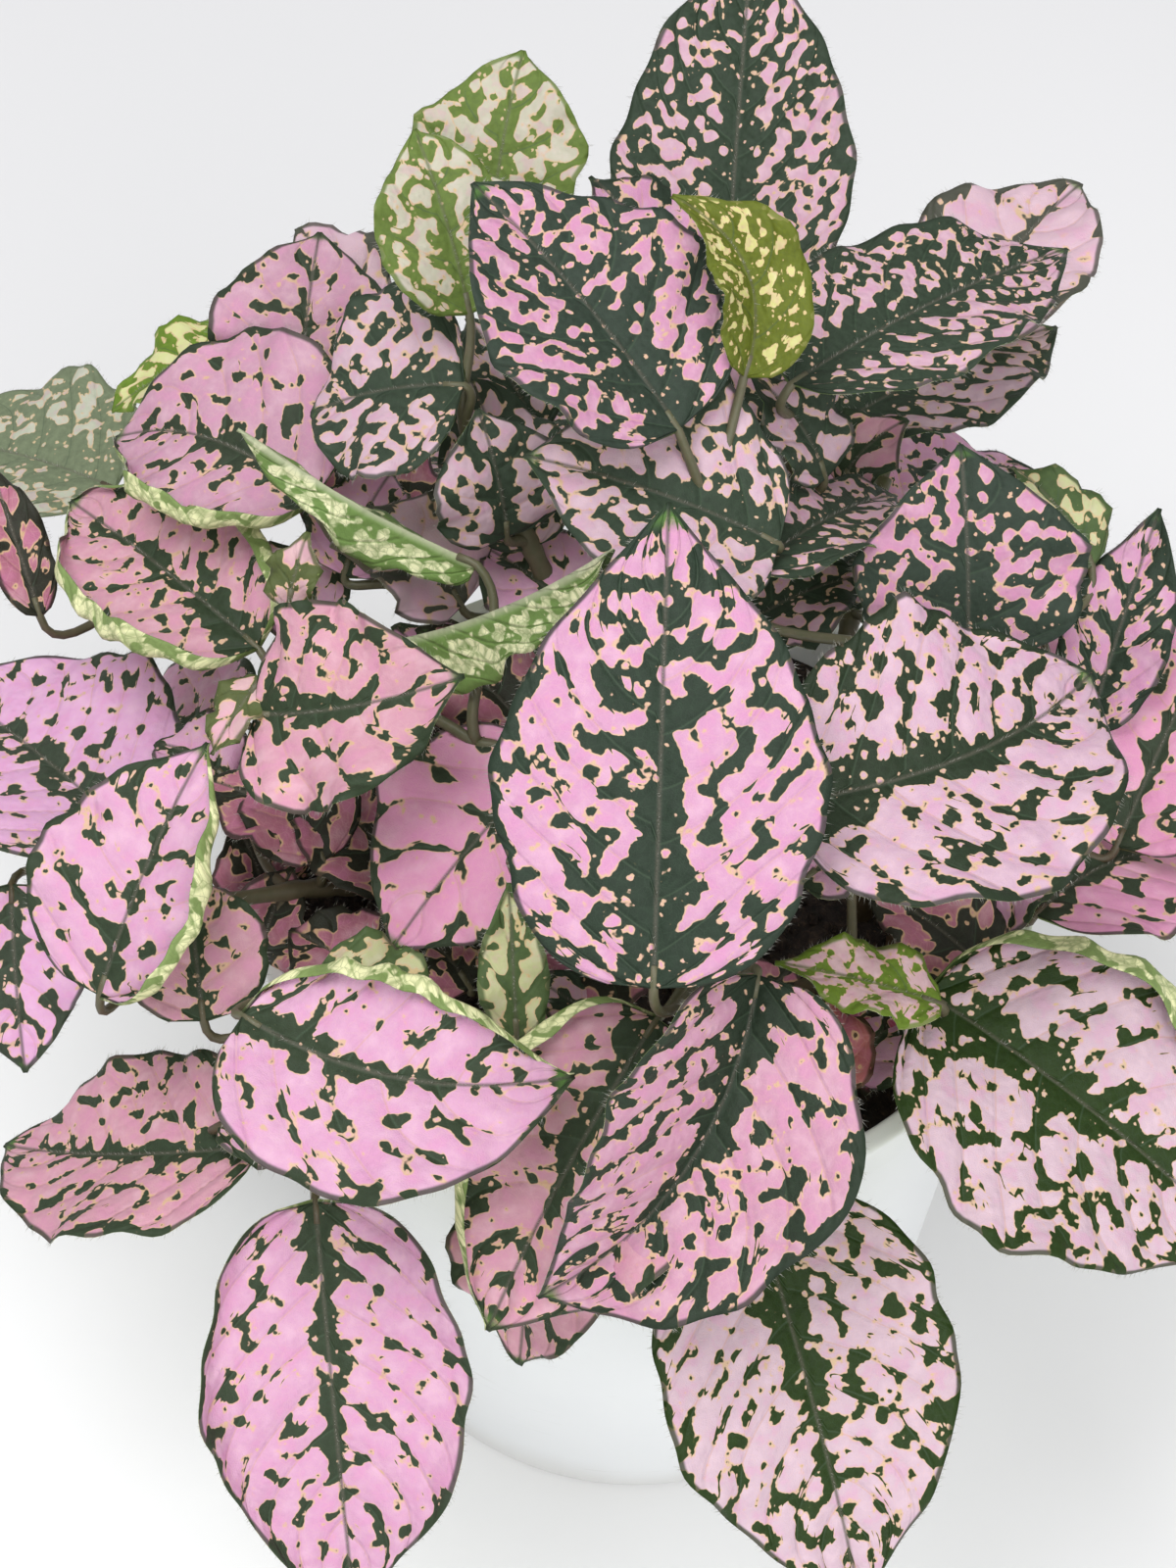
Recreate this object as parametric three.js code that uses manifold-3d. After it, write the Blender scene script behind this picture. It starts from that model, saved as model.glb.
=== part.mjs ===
// A polka dot plant in a plain tapered pot: the pot, its soil, and eighteen leafy stems that stand in
// holes in the soil. Millimetres, +Z up, with the origin at the middle of the pot's base.
// The front of the plant is towards -Y.
import * as THREE from "three";
import { mergeVertices } from "three/addons/utils/BufferGeometryUtils.js";
import Module from "manifold-3d";

// ---- Driving dimensions -------------------------------------------------------------------------

const potHeight = 118;
const potRimRadius = 60;
const potBaseRadius = 50;
const potWall = 2.2;
const potFloor = 3;
const potSides = 24;
const lipHeight = 9; // the band round the rim
const lipProud = 1.2;
const drainHoles = 6;
const drainRadius = 4.5;
const drainRing = 30; // how far the drain holes lie from the middle
const drainSides = 8;
const potEdge = 1; // the chamfer at the rim and round the base
const potCorner = 3; // the slope inside, between floor and wall

const gap = 0.3; // between pieces that touch on the real plant
const soilDepth = 10; // the soil's surface below the rim
const soilMound = 3; // how much higher the soil lies in the middle
const lumpHeight = 1.2; // of the soft lumps on it
const lumpPitch = 30;
const soilRings = 3;
const rootDepth = 12; // how far a stem goes down into the soil
const stemRise = 2; // how far it stands straight up above the soil
const stemUpright = 0.6; // and the share of its height that it heads up before it leans

const stemFootRadius = 1.7;
const stemHeadRadius = 1.1;
const stemSides = 5;
const stemSteps = 4;
const stalkStemRadius = 1; // of a leaf's stalk, at the stem
const stalkBladeRadius = 0.7; // and at the blade
const stalkSteps = 3;
const stalkEase = 0.4; // the share of its reach over which it turns at each end
const stalkRise = 0.8; // how far upwards it leans as it comes in under the blade

const bladeThickness = 0.7;
const bladeEnd = 0.7; // half the width of a blade where it starts and ends
const fewestRows = 4; // rows of faces along a narrow blade
const addedRowWidth = 22; // and one more past this width
const bladeFolds = 27; // a wider blade than this has 4 faces across, and others 2
const widestPlace = 0.43; // how far along a blade is widest, as a share of its length
const baseRoundness = 0.45; // a power below 1 rounds its outline towards the stalk
const marginWaves = 2.3; // ripples along each margin
const wavePhase = { x: 0.13, y: 0.07, right: 0.45 }; // how the ripples shift from leaf to leaf
const mergeDistance = 0.001; // points nearer than this are one
const curlStart = 0.7; // where a rolled margin begins, as a share of the half width

// ---- The leaves ---------------------------------------------------------------------------------

// Each stem has a foot in the soil, a head, and its leaves. A leaf runs from base, where its stalk
// meets the blade, to tip. Lengths are in mm and turns in degrees.
//   width   across the widest place
//   from    where its stalk leaves the stem, from 0 at the soil to 1 at the head
//   roll    turns the blade about its midrib and lowers its right edge
//   twist   further roll, from base to tip
//   arch    how far the midrib bows up, so that the leaf rises and then droops
//   bow     how far the midrib bows sideways, to the right
//   fold    how far each half lifts from flat
//   cup     further lift towards the margins
//   curl    how far the left and right margins roll over
//   wave    how far the margins ripple
const stems = [
  {
    name: "stem_front_middle",
    foot: [6, -20], head: [7, -44, 152],
    leaves: [
      { base: [0, -56, 168], tip: [2, -6, 204], width: 42, arch: 4, fold: 8, cup: -14, wave: 0.8 },
      { base: [14, -48, 159], tip: [-15, -77, 125], width: 41, arch: 5, bow: -5, fold: 34, roll: -42, wave: 2 },
      { base: [1, -47, 147], tip: [-22, -77, 115], width: 41, arch: 4, fold: 8, roll: -4, curl: [0, 150], from: 0.85 },
      { base: [10, -18, 126], tip: [2, -8, 132], width: 16, from: 0.3 },
    ],
  },
  {
    name: "stem_front_right",
    foot: [20, -24], head: [36, -36, 134],
    leaves: [
      { base: [39, -37, 138], tip: [83, -66, 117], width: 53, arch: 4, curl: [150, 0], roll: 6, wave: 2.2 },
      { base: [40, -42, 143], tip: [17, -40, 150], width: 13, arch: 1 },
      { base: [36, -24, 120], tip: [32, -38, 112], width: 11, from: 0.5 },
      { base: [30, -15, 138], tip: [33, -2, 142], width: 16, from: 0.7 },
      { base: [30, -37, 115], tip: [39, -26, 118], width: 15, from: 0.3 },
      { base: [27, -43, 121], tip: [25, -30, 127], width: 13, from: 0.3 },
      { base: [14, -32, 118], tip: [22, -22, 122], width: 16, from: 0.3 },
    ],
  },
  {
    name: "stem_right_middle",
    foot: [16, -6], head: [19, -18, 166],
    leaves: [
      { base: [18, -31, 174], tip: [61, -4, 168], width: 44, arch: 5, bow: 5, roll: 18, fold: 12 },
      { base: [21, -27, 150], tip: [32, -20, 150], width: 14, from: 0.8 },
    ],
  },
  {
    name: "stem_right",
    foot: [34, -4], head: [56, 2, 126],
    leaves: [
      { base: [68, 15, 132], tip: [79, 42, 152], width: 17 },
      { base: [72, 0, 122], tip: [92, 37, 138], width: 36 },
      { base: [58, -14, 124], tip: [91, 9, 108], width: 34, bow: -3 },
      { base: [48, -16, 121], tip: [35, -22, 118], width: 11, from: 0.8 },
      { base: [60, 30, 122], tip: [88, 60, 96], width: 32, from: 0.8 },
      { base: [51, -26, 124], tip: [32, -14, 132], width: 20, from: 0.7 },
      { base: [59, -4, 128], tip: [45, -15, 118], width: 18 },
      { base: [62, 32, 136], tip: [47, 43, 142], width: 18 },
      { base: [73, 14, 120], tip: [80, 27, 128], width: 16 },
      { base: [51, -7, 128], tip: [59, 4, 132], width: 14, from: 0.7 },
      { base: [52, 18, 130], tip: [62, 26, 134], width: 16, from: 0.9 },
    ],
  },
  {
    name: "stem_front",
    foot: [0, -36], head: [4, -52, 124],
    leaves: [
      { base: [14, -60, 123], tip: [30, -104, 84], width: 43, arch: 4, wave: 1.6 },
      { base: [-12, -57, 128], tip: [-18, -73, 96], width: 25, roll: 8 },
      { base: [-18, -46, 127], tip: [-34, -55, 120], width: 12, from: 0.8, arch: 1 },
    ],
  },
  {
    name: "stem_front_left",
    foot: [-22, -27], head: [-44, -42, 126],
    leaves: [
      { base: [-46, -61, 122], tip: [-41, -104, 80], width: 40, arch: 4, curl: [30, 60], wave: 2.2 },
      { base: [-54, -52, 122], tip: [-96, -38, 98], width: 34, arch: 2, bow: -3 },
      { base: [-60, -50, 124], tip: [-35, -55, 121], width: 13, from: 0.8 },
      { base: [-40, -26, 122], tip: [-52, -18, 126], width: 18, from: 0.6 },
    ],
  },
  {
    name: "stem_left_front",
    foot: [-16, -14], head: [-44, -34, 138],
    leaves: [
      { base: [-54, -49, 151], tip: [-10, -56, 147], width: 36, arch: 3, bow: 5, roll: 20, curl: [150, 0], wave: 2 },
      { base: [-45, -36, 143], tip: [-28, -40, 139], width: 14, arch: 1 },
      { base: [-62, -39, 134], tip: [-65, -19, 142], width: 21, from: 0.9 },
      { base: [-25, -31, 130], tip: [-36, -20, 134], width: 16, from: 0.6 },
      { base: [-14, -18, 120], tip: [-26, -6, 124], width: 18, from: 0.3 },
    ],
  },
  {
    name: "stem_left",
    foot: [-34, -4], head: [-62, -16, 130],
    leaves: [
      { base: [-76, -38, 139], tip: [-61, -10, 160], width: 31, curl: [0, 120] },
      { base: [-95, -7, 122], tip: [-93, -29, 104], width: 22 },
      { base: [-77, -3, 130], tip: [-112, 35, 118], width: 44 },
      { base: [-48, -6, 132], tip: [-65, 2, 136], width: 18, from: 0.6 },
      { base: [-34, -10, 126], tip: [-54, 7, 134], width: 22, from: 0.3 },
      { base: [-47, -10, 132], tip: [-57, 7, 136], width: 18, from: 0.7 },
      { base: [-41, -1, 124], tip: [-27, -11, 120], width: 18, from: 0.6 },
      { base: [-47, 10, 134], tip: [-56, 18, 138], width: 16, from: 0.5 },
      { base: [-62, 6, 130], tip: [-74, 12, 132], width: 16, from: 0.8 },
    ],
  },
  {
    name: "stem_left_middle",
    foot: [-26, 8], head: [-52, 6, 156],
    leaves: [
      { base: [-57, 16, 150], tip: [-90, 53, 142], width: 38, roll: -14, curl: [130, 150], wave: 1.6 },
      { base: [-55, -4, 159], tip: [-25, -8, 172], width: 31, bow: 2, roll: 30, fold: 10, cup: 12, wave: 3 },
      { base: [-50, 6, 170], tip: [-47, 13, 178], width: 8, arch: 1 },
      { base: [-54, 1, 161], tip: [-61, -9, 156], width: 8, arch: 1 },
    ],
  },
  {
    name: "stem_left_back",
    foot: [-20, 24], head: [-46, 32, 156],
    leaves: [
      { base: [-49, 34, 162], tip: [-82, 57, 152], width: 40, arch: 4, bow: 3, roll: -18, curl: [120, 0] },
      { base: [-53, 61, 156], tip: [-50, 82, 172], width: 30 },
      { base: [-43, 76, 160], tip: [-55, 92, 164], width: 16, from: 0.9 },
      { base: [-45, 30, 150], tip: [-38, 46, 156], width: 18, from: 0.8 },
      { base: [-28, 16, 136], tip: [-38, 27, 142], width: 16, from: 0.4 },
    ],
  },
  {
    name: "stem_far_left",
    foot: [-34, 18], head: [-66, 50, 132],
    leaves: [
      { base: [-62, 82, 148], tip: [-87, 79, 136], width: 18 },
      { base: [-88, 75, 122], tip: [-127, 100, 108], width: 40 },
      { base: [-94, 36, 134], tip: [-103, 58, 146], width: 10 },
      { base: [-62, 24, 122], tip: [-92, 38, 94], width: 32, from: 0.6 },
      { base: [-49, 28, 140], tip: [-61, 41, 144], width: 18, from: 0.6 },
    ],
  },
  {
    name: "stem_back_left",
    foot: [-8, 22], head: [-26, 36, 174],
    leaves: [
      { base: [-26, 38, 182], tip: [-49, 42, 172], width: 34, roll: -16 },
      { base: [-25, 44, 190], tip: [-33, 66, 205], width: 22 },
      { base: [-34, 46, 140], tip: [-59, 68, 144], width: 24, from: 0.6 },
      { base: [-17, 28, 158], tip: [-26, 52, 170], width: 20, from: 0.7 },
      { base: [-16, 50, 160], tip: [-27, 69, 166], width: 14, from: 0.8 },
      { base: [-6, 16, 150], tip: [-24, 34, 152], width: 22, from: 0.4 },
      { base: [-2, 28, 140], tip: [7, 39, 146], width: 18, from: 0.3 },
      { base: [-20, 25, 164], tip: [-24, 34, 181], width: 22, from: 0.7 },
      { base: [-27, 24, 150], tip: [-41, 34, 161], width: 22, from: 0.5 },
    ],
  },
  {
    name: "stem_back",
    foot: [0, 38], head: [2, 62, 160],
    leaves: [
      { base: [-23, 73, 180], tip: [-18, 93, 198], width: 27 },
      { base: [12, 56, 168], tip: [17, 113, 205], width: 37, roll: -4, fold: 14 },
      { base: [-20, 60, 130], tip: [-34, 100, 112], width: 34, from: 0.5 },
      { base: [20, 66, 128], tip: [30, 104, 108], width: 36, from: 0.5 },
      { base: [2, 64, 125], tip: [4, 100, 96], width: 32, from: 0.4 },
      { base: [5, 64, 176], tip: [-8, 76, 188], width: 18 },
      { base: [-16, 44, 140], tip: [-26, 54, 146], width: 18, from: 0.4 },
      { base: [-6, 54, 150], tip: [6, 62, 156], width: 16, from: 0.7 },
    ],
  },
  {
    name: "stem_middle",
    foot: [4, 8], head: [8, 12, 180],
    leaves: [
      { base: [4, 16, 195], tip: [-24, 46, 212], width: 36 },
      { base: [18, 9, 180], tip: [-17, 15, 191], width: 34, roll: -16 },
      { base: [13, 24, 197], tip: [3, 41, 214], width: 17, bow: 5, fold: 34 },
      { base: [12, 11, 158], tip: [32, 21, 160], width: 20, from: 0.6 },
      { base: [6, 28, 158], tip: [15, 42, 160], width: 18, from: 0.6 },
      { base: [6, 9, 150], tip: [-4, 20, 160], width: 18, from: 0.4 },
    ],
  },
  {
    name: "stem_back_right",
    foot: [18, 26], head: [22, 36, 174],
    leaves: [
      { base: [20, 30, 190], tip: [64, 69, 180], width: 31 },
      { base: [22, 23, 150], tip: [37, 39, 146], width: 18, from: 0.6 },
      { base: [22, 41, 168], tip: [13, 55, 173], width: 14, from: 0.9 },
      { base: [9, 33, 172], tip: [-8, 39, 180], width: 18, from: 0.8 },
      { base: [19, 28, 140], tip: [26, 37, 148], width: 16, from: 0.4 },
    ],
  },
  {
    name: "stem_far_right",
    foot: [30, 26], head: [38, 54, 146],
    leaves: [
      { base: [47, 70, 161], tip: [72, 103, 164], width: 30 },
      { base: [30, 52, 160], tip: [67, 80, 154], width: 30 },
      { base: [44, 62, 128], tip: [72, 88, 110], width: 34, from: 0.6 },
      { base: [37, 28, 140], tip: [45, 15, 138], width: 18, from: 0.6 },
      { base: [20, 40, 140], tip: [10, 50, 144], width: 18, from: 0.6 },
    ],
  },
  {
    name: "stem_right_back",
    foot: [32, 10], head: [42, 10, 152],
    leaves: [
      { base: [46, 7, 158], tip: [44, 26, 182], width: 34 },
      { base: [14, 6, 178], tip: [38, 39, 158], width: 21 },
      { base: [68, 32, 150], tip: [56, 45, 158], width: 13 },
      { base: [48, 36, 150], tip: [60, 46, 156], width: 16, from: 0.9 },
    ],
  },
  {
    name: "stem_middle_left",
    foot: [-8, -4], head: [-24, -4, 152],
    leaves: [
      { base: [-41, 11, 155], tip: [-5, -5, 194], width: 16, fold: 62, roll: 176 },
      { base: [-13, -7, 152], tip: [-36, -30, 138], width: 35 },
      { base: [-24, 14, 170], tip: [-58, 31, 180], width: 14, fold: 58, roll: 172 },
      { base: [-3, -23, 136], tip: [-14, -38, 128], width: 20, from: 0.7 },
      { base: [-18, -45, 139], tip: [-19, -31, 156], width: 10, from: 0.7, arch: 1 },
      { base: [-15, -29, 152], tip: [-4, -37, 141], width: 9, from: 0.65, arch: 1 },
      { base: [-14, 5, 138], tip: [-34, 23, 146], width: 22, from: 0.5 },
      { base: [-3, -41, 128], tip: [-16, -32, 134], width: 14, from: 0.3 },
    ],
  },
];

const leafDefaults = {
  from: 1, roll: 0, twist: 0, arch: 2.5, bow: 0, fold: 10, cup: 0, curl: [0, 0], wave: 1.6,
};

// ---- Solids -------------------------------------------------------------------------------------

const wasm = await Module();
wasm.setup();

const up = new THREE.Vector3(0, 0, 1);
const vec = (list) => new THREE.Vector3(...list);
const radians = THREE.MathUtils.degToRad;

function solid(points, triangles) {
  return new wasm.Manifold(new wasm.Mesh({
    numProp: 3,
    vertProperties: new Float32Array(points.flatMap((p) => [p.x, p.y, p.z])),
    triVerts: new Uint32Array(triangles.flat()),
  }));
}

function geometryOf(manifold) {
  const mesh = manifold.getMesh();
  const raw = new THREE.BufferGeometry();
  raw.setAttribute("position", new THREE.BufferAttribute(mesh.vertProperties, 3));
  raw.setIndex(new THREE.BufferAttribute(mesh.triVerts, 1));
  const geometry = mergeVertices(raw, mergeDistance);
  geometry.setIndex(new THREE.BufferAttribute(outerShell(geometry.index.array), 1));
  geometry.computeVertexNormals();
  return geometry;
}

// The triangles of the largest shell, where neighbours share an edge. Blades and stalks that join may
// close off a tiny hollow, which this fills.
function outerShell(corners) {
  const triangles = [];
  for (let t = 0; t < corners.length; t += 3) {
    const [a, b, c] = corners.slice(t, t + 3);
    if (a !== b && b !== c && c !== a) triangles.push([a, b, c]);
  }
  const byEdge = new Map();
  triangles.forEach(([a, b, c], t) => {
    for (const [from, to] of [[a, b], [b, c], [c, a]]) {
      const edge = `${Math.min(from, to)} ${Math.max(from, to)}`;
      if (!byEdge.has(edge)) byEdge.set(edge, []);
      byEdge.get(edge).push(t);
    }
  });
  const neighbours = triangles.map(() => []);
  for (const shared of byEdge.values()) {
    for (const t of shared) neighbours[t].push(...shared);
  }
  const seen = new Set();
  let largest = [];
  for (let first = 0; first < triangles.length; first++) {
    if (seen.has(first)) continue;
    const shell = [first];
    seen.add(first);
    for (const t of shell) {
      for (const next of neighbours[t].filter((n) => !seen.has(n))) {
        seen.add(next);
        shell.push(next);
      }
    }
    if (shell.length > largest.length) largest = shell;
  }
  return new Uint32Array(largest.flatMap((t) => triangles[t]));
}

function joined(solids) {
  return solids.reduce((whole, piece) => whole.add(piece));
}

// Rings of points, each ring joined to the next, with a flat face on the first and the last ring. The
// faces past upperFaces are split along their other diagonal.
function ringSolid(rings, upperFaces = Infinity) {
  const sides = rings[0].length;
  const last = (rings.length - 1) * sides;
  const triangles = [];
  for (let r = 0; r < rings.length - 1; r++) {
    for (let s = 0; s < sides; s++) {
      const a = r * sides + s;
      const b = r * sides + ((s + 1) % sides);
      const [c, d] = [b + sides, a + sides];
      if (s > upperFaces) {
        triangles.push([a, b, d], [b, c, d]);
      } else {
        triangles.push([a, b, c], [a, c, d]);
      }
    }
  }
  for (let s = 0; s < Math.floor((sides - 1) / 2); s++) {
    const [a, b, c, d] = [s, s + 1, sides - 2 - s, sides - 1 - s];
    const faces = b === c ? [[a, b, d]] : [[a, b, c], [a, c, d]];
    for (const [p, q, r] of faces) {
      triangles.push([p, r, q], [last + p, last + q, last + r]);
    }
  }
  return solid(rings.flat(), triangles);
}

// A round bar along a row of points, its radius changing evenly from the first to the last.
function barSolid(path, firstRadius, lastRadius, sides) {
  let side = new THREE.Vector3(1, 0, 0);
  const rings = path.map((point, i) => {
    const along = path[Math.min(i + 1, path.length - 1)].clone()
      .sub(path[Math.max(i - 1, 0)]).normalize();
    side = side.clone().addScaledVector(along, -side.dot(along)).normalize();
    const across = along.clone().cross(side);
    const radius = THREE.MathUtils.lerp(firstRadius, lastRadius, i / (path.length - 1));
    return Array.from({ length: sides }, (_, s) => {
      const turn = (2 * Math.PI * s) / sides;
      return point.clone()
        .addScaledVector(side, radius * Math.cos(turn))
        .addScaledVector(across, radius * Math.sin(turn));
    });
  });
  return ringSolid(rings);
}

// ---- Pot ----------------------------------------------------------------------------------------

// The pot's outer radius at a height, without the lip.
function potRadius(height) {
  return THREE.MathUtils.lerp(potBaseRadius, potRimRadius - lipProud, height / potHeight);
}

function potGeometry() {
  const lipFoot = potHeight - lipHeight;
  const inner = (height) => potRadius(height) - potWall;
  const profile = [
    [potBaseRadius - potEdge, 0],
    [potBaseRadius, potEdge],
    [potRadius(lipFoot - lipProud), lipFoot - lipProud],
    [potRadius(lipFoot) + lipProud, lipFoot],
    [potRimRadius, potHeight - potEdge],
    [potRimRadius - potEdge, potHeight],
    [inner(potHeight) + potEdge / 2, potHeight],
    [inner(potHeight), potHeight - potEdge],
    [inner(potFloor + potCorner), potFloor + potCorner],
    [inner(potFloor) - potCorner, potFloor],
  ];
  const rings = profile.map(([radius, height]) => circle(radius, height));
  let pot = ringSolid(rings);
  for (let h = 0; h < drainHoles; h++) {
    const turn = (2 * Math.PI * (h + 0.5)) / drainHoles;
    const [x, y] = [drainRing * Math.cos(turn), drainRing * Math.sin(turn)];
    const hole = [-gap, potFloor + gap].map((height) => circle(drainRadius, height, drainSides, x, y));
    pot = pot.subtract(ringSolid(hole));
  }
  return geometryOf(pot);
}

function circle(radius, height, sides = potSides, x = 0, y = 0) {
  return Array.from({ length: sides }, (_, s) => {
    const turn = (2 * Math.PI * s) / sides;
    return new THREE.Vector3(x + radius * Math.cos(turn), y + radius * Math.sin(turn), height);
  });
}

// ---- Soil ---------------------------------------------------------------------------------------

const soilEdge = potHeight - soilDepth;

// The height of the soil's surface: a low mound with a few soft lumps, flat at the pot's wall.
function soilHeight(x, y) {
  const out = Math.hypot(x, y) / potRimRadius;
  const wave = (2 * Math.PI) / lumpPitch;
  const lump = lumpHeight * Math.sin(wave * x) * Math.cos(wave * y);
  return soilEdge + Math.max(0, 1 - out * out) * (soilMound + lump);
}

function soilGeometry() {
  const edge = potRadius(soilEdge) - potWall - gap;
  const floor = potFloor + gap;
  const rings = [
    circle(potRadius(potFloor) - potWall - potCorner - gap, floor),
    circle(potRadius(potFloor + potCorner) - potWall - gap, floor + potCorner),
    circle(edge, soilEdge),
  ];
  for (let r = 1; r <= soilRings; r++) {
    const ring = circle(edge * (1 - r / (soilRings + 0.5)), 0);
    rings.push(ring.map((p) => p.setZ(soilHeight(p.x, p.y))));
  }
  let soil = ringSolid(rings);
  for (const stem of stems) {
    const [x, y] = stem.foot;
    const hole = [soilEdge - rootDepth - gap, potHeight]
      .map((height) => circle(stemFootRadius + gap, height, stemSides, x, y));
    soil = soil.subtract(ringSolid(hole));
  }
  return geometryOf(soil);
}

// ---- Stems and leaves ---------------------------------------------------------------------------

// A stem's middle line at t from 0 at the soil to 1 at the head: it leaves the soil upright and
// leans over evenly towards its head.
function stemPoint(stem, t) {
  const [x, y] = stem.foot;
  const foot = new THREE.Vector3(x, y, soilHeight(x, y) + stemRise);
  const head = vec(stem.head);
  const above = new THREE.Vector3(x, y, THREE.MathUtils.lerp(foot.z, head.z, stemUpright));
  return new THREE.QuadraticBezierCurve3(foot, above, head).getPoint(t);
}

// The half width of a blade at u from 0 at its base to 1 at its tip: an arch that is rounder before its
// widest place and comes to a point after it.
function halfWidth(leaf, u) {
  const arch = Math.max(0, Math.sin(Math.PI * u ** (Math.log(0.5) / Math.log(widestPlace))));
  const share = u < widestPlace ? arch ** baseRoundness : arch;
  return Math.max((leaf.width / 2) * share, bladeEnd);
}

// The midrib at u, with the direction along it, the direction to the right and the upper face's.
function midrib(leaf, u) {
  const base = vec(leaf.base);
  const chord = vec(leaf.tip).sub(base);
  const along = chord.clone().normalize();
  const face = up.clone().addScaledVector(along, -up.dot(along)).normalize();
  const right = along.clone().cross(face);
  const bend = 4 * u * (1 - u);
  const slope = 4 * (1 - 2 * u);
  const turn = radians(leaf.roll + leaf.twist * (u - 0.5));
  const rolled = (v) => v.applyAxisAngle(along, turn);
  rolled(face);
  rolled(right);
  const point = base.clone().addScaledVector(chord, u)
    .addScaledVector(face, leaf.arch * bend).addScaledVector(right, leaf.bow * bend);
  const tangent = chord.addScaledVector(face, leaf.arch * slope)
    .addScaledVector(right, leaf.bow * slope).normalize();
  const normal = face.addScaledVector(tangent, -face.dot(tangent)).normalize();
  return { point, tangent, normal, right: tangent.clone().cross(normal) };
}

// How far out and up a half blade has come at share s of its width: its slope starts at the fold,
// grows with the cup, and grows faster past curlStart where the margin rolls over.
function crossSection(leaf, s, side) {
  const steps = 12;
  let out = 0;
  let lift = 0;
  for (let k = 0; k < steps; k++) {
    const at = (s * (k + 0.5)) / steps;
    const rolled = Math.max(0, (at - curlStart) / (1 - curlStart));
    const angle = radians(leaf.fold + leaf.cup * at + leaf.curl[side] * rolled);
    out += (Math.cos(angle) * s) / steps;
    lift += (Math.sin(angle) * s) / steps;
  }
  return [out, lift];
}

// A point of a blade's middle surface at u along it and v across it, from -1 to 1.
function bladePoint(leaf, u, v) {
  const rib = midrib(leaf, u);
  const side = v < 0 ? 0 : 1;
  const half = halfWidth(leaf, u);
  const [out, lift] = crossSection(leaf, Math.abs(v), side);
  const phase = wavePhase.x * leaf.base[0] + wavePhase.y * leaf.base[1] + wavePhase.right * side;
  const ripple = leaf.wave * v * v * Math.sin(2 * Math.PI * (marginWaves * u + phase))
    * Math.sqrt(Math.sin(Math.PI * u));
  return rib.point.addScaledVector(rib.right, Math.sign(v) * out * half)
    .addScaledVector(rib.normal, lift * half + ripple);
}

// A leaf's stalk and its thin blade in one closed solid. Each ring of the blade runs over its upper
// face from left to right and back under it, and both faces are split alike. Its rows lie closer
// together towards the stalk and the tip.
function leafSolid(stem, leaf) {
  const rows = leaf.width > addedRowWidth ? fewestRows + 1 : fewestRows;
  const columns = leaf.width > bladeFolds ? 4 : 2;
  const grid = [];
  for (let i = 0; i <= rows; i++) {
    const u = 0.5 - 0.5 * Math.cos((Math.PI * (i + 0.25)) / (rows + 0.5));
    const ends = { 0: 0, [rows]: 1 };
    for (let j = 0; j <= columns; j++) {
      grid.push(bladePoint(leaf, ends[i] ?? u, -1 + (2 * j) / columns));
    }
  }
  const at = (i, j) => i * (columns + 1) + j;
  const clampAt = (i, j) => grid[at(Math.min(Math.max(i, 0), rows), Math.min(Math.max(j, 0), columns))];
  const shifted = (i, j, by) => {
    const across = clampAt(i, j + 1).clone().sub(clampAt(i, j - 1));
    const normal = across.cross(clampAt(i + 1, j).clone().sub(clampAt(i - 1, j))).normalize();
    return grid[at(i, j)].clone().addScaledVector(normal, by);
  };
  const rings = stalkRings(stem, leaf, 2 * (columns + 1));
  for (let i = 0; i <= rows; i++) {
    const row = (by) => Array.from({ length: columns + 1 }, (_, j) => shifted(i, j, by));
    rings.push([...row(bladeThickness / 2), ...row(-bladeThickness / 2).reverse()]);
  }
  return ringSolid(rings, columns);
}

// Where on a stalk's round a share of the way round a blade's edge lands. A stalk has three corners, at
// its left, its right and below, and points that share a corner are one.
function stalkCorner(share) {
  if (share >= 0.5) return -Math.PI / 2;
  return share > 0.25 ? Math.PI / 6 : (5 * Math.PI) / 6;
}

// The rings of a stalk: it leaves the stem outwards and upwards and rises into the start of the blade,
// whose own first ring ends it.
function stalkRings(stem, leaf, sides) {
  const start = stemPoint(stem, leaf.from);
  const { point: end, tangent, right } = midrib(leaf, 0);
  const reach = start.distanceTo(end);
  const stemAlong = start.clone().sub(stemPoint(stem, leaf.from - 1 / stemSteps)).normalize();
  const leaving = end.clone().sub(start).normalize().add(stemAlong).multiplyScalar(0.5);
  const arriving = tangent.clone().addScaledVector(up, stalkRise).normalize();
  const curve = new THREE.CubicBezierCurve3(
    start,
    start.clone().addScaledVector(leaving, stalkEase * reach),
    end.clone().addScaledVector(arriving, -stalkEase * reach),
    end,
  );
  let side = right;
  const rings = [];
  for (let k = stalkSteps - 1; k >= 0; k--) {
    const t = k / stalkSteps;
    const along = curve.getTangent(t);
    side = side.clone().addScaledVector(along, -side.dot(along)).normalize();
    const above = side.clone().cross(along);
    const radius = THREE.MathUtils.lerp(stalkStemRadius, stalkBladeRadius, t);
    rings.unshift(Array.from({ length: sides }, (_, s) => {
      const turn = stalkCorner(s / sides);
      return curve.getPoint(t)
        .addScaledVector(side, radius * Math.cos(turn))
        .addScaledVector(above, radius * Math.sin(turn));
    }));
  }
  return rings;
}

function stemGeometry(stem) {
  const [x, y] = stem.foot;
  const path = [new THREE.Vector3(x, y, soilEdge - rootDepth)];
  for (let s = 0; s <= stemSteps; s++) {
    path.push(stemPoint(stem, s / stemSteps));
  }
  const pieces = [barSolid(path, stemFootRadius, stemHeadRadius, stemSides)];
  for (const given of stem.leaves) {
    const leaf = { ...leafDefaults, ...given };
    pieces.push(leafSolid(stem, leaf));
  }
  return geometryOf(joined(pieces));
}

// ---- The plant ----------------------------------------------------------------------------------

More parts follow.
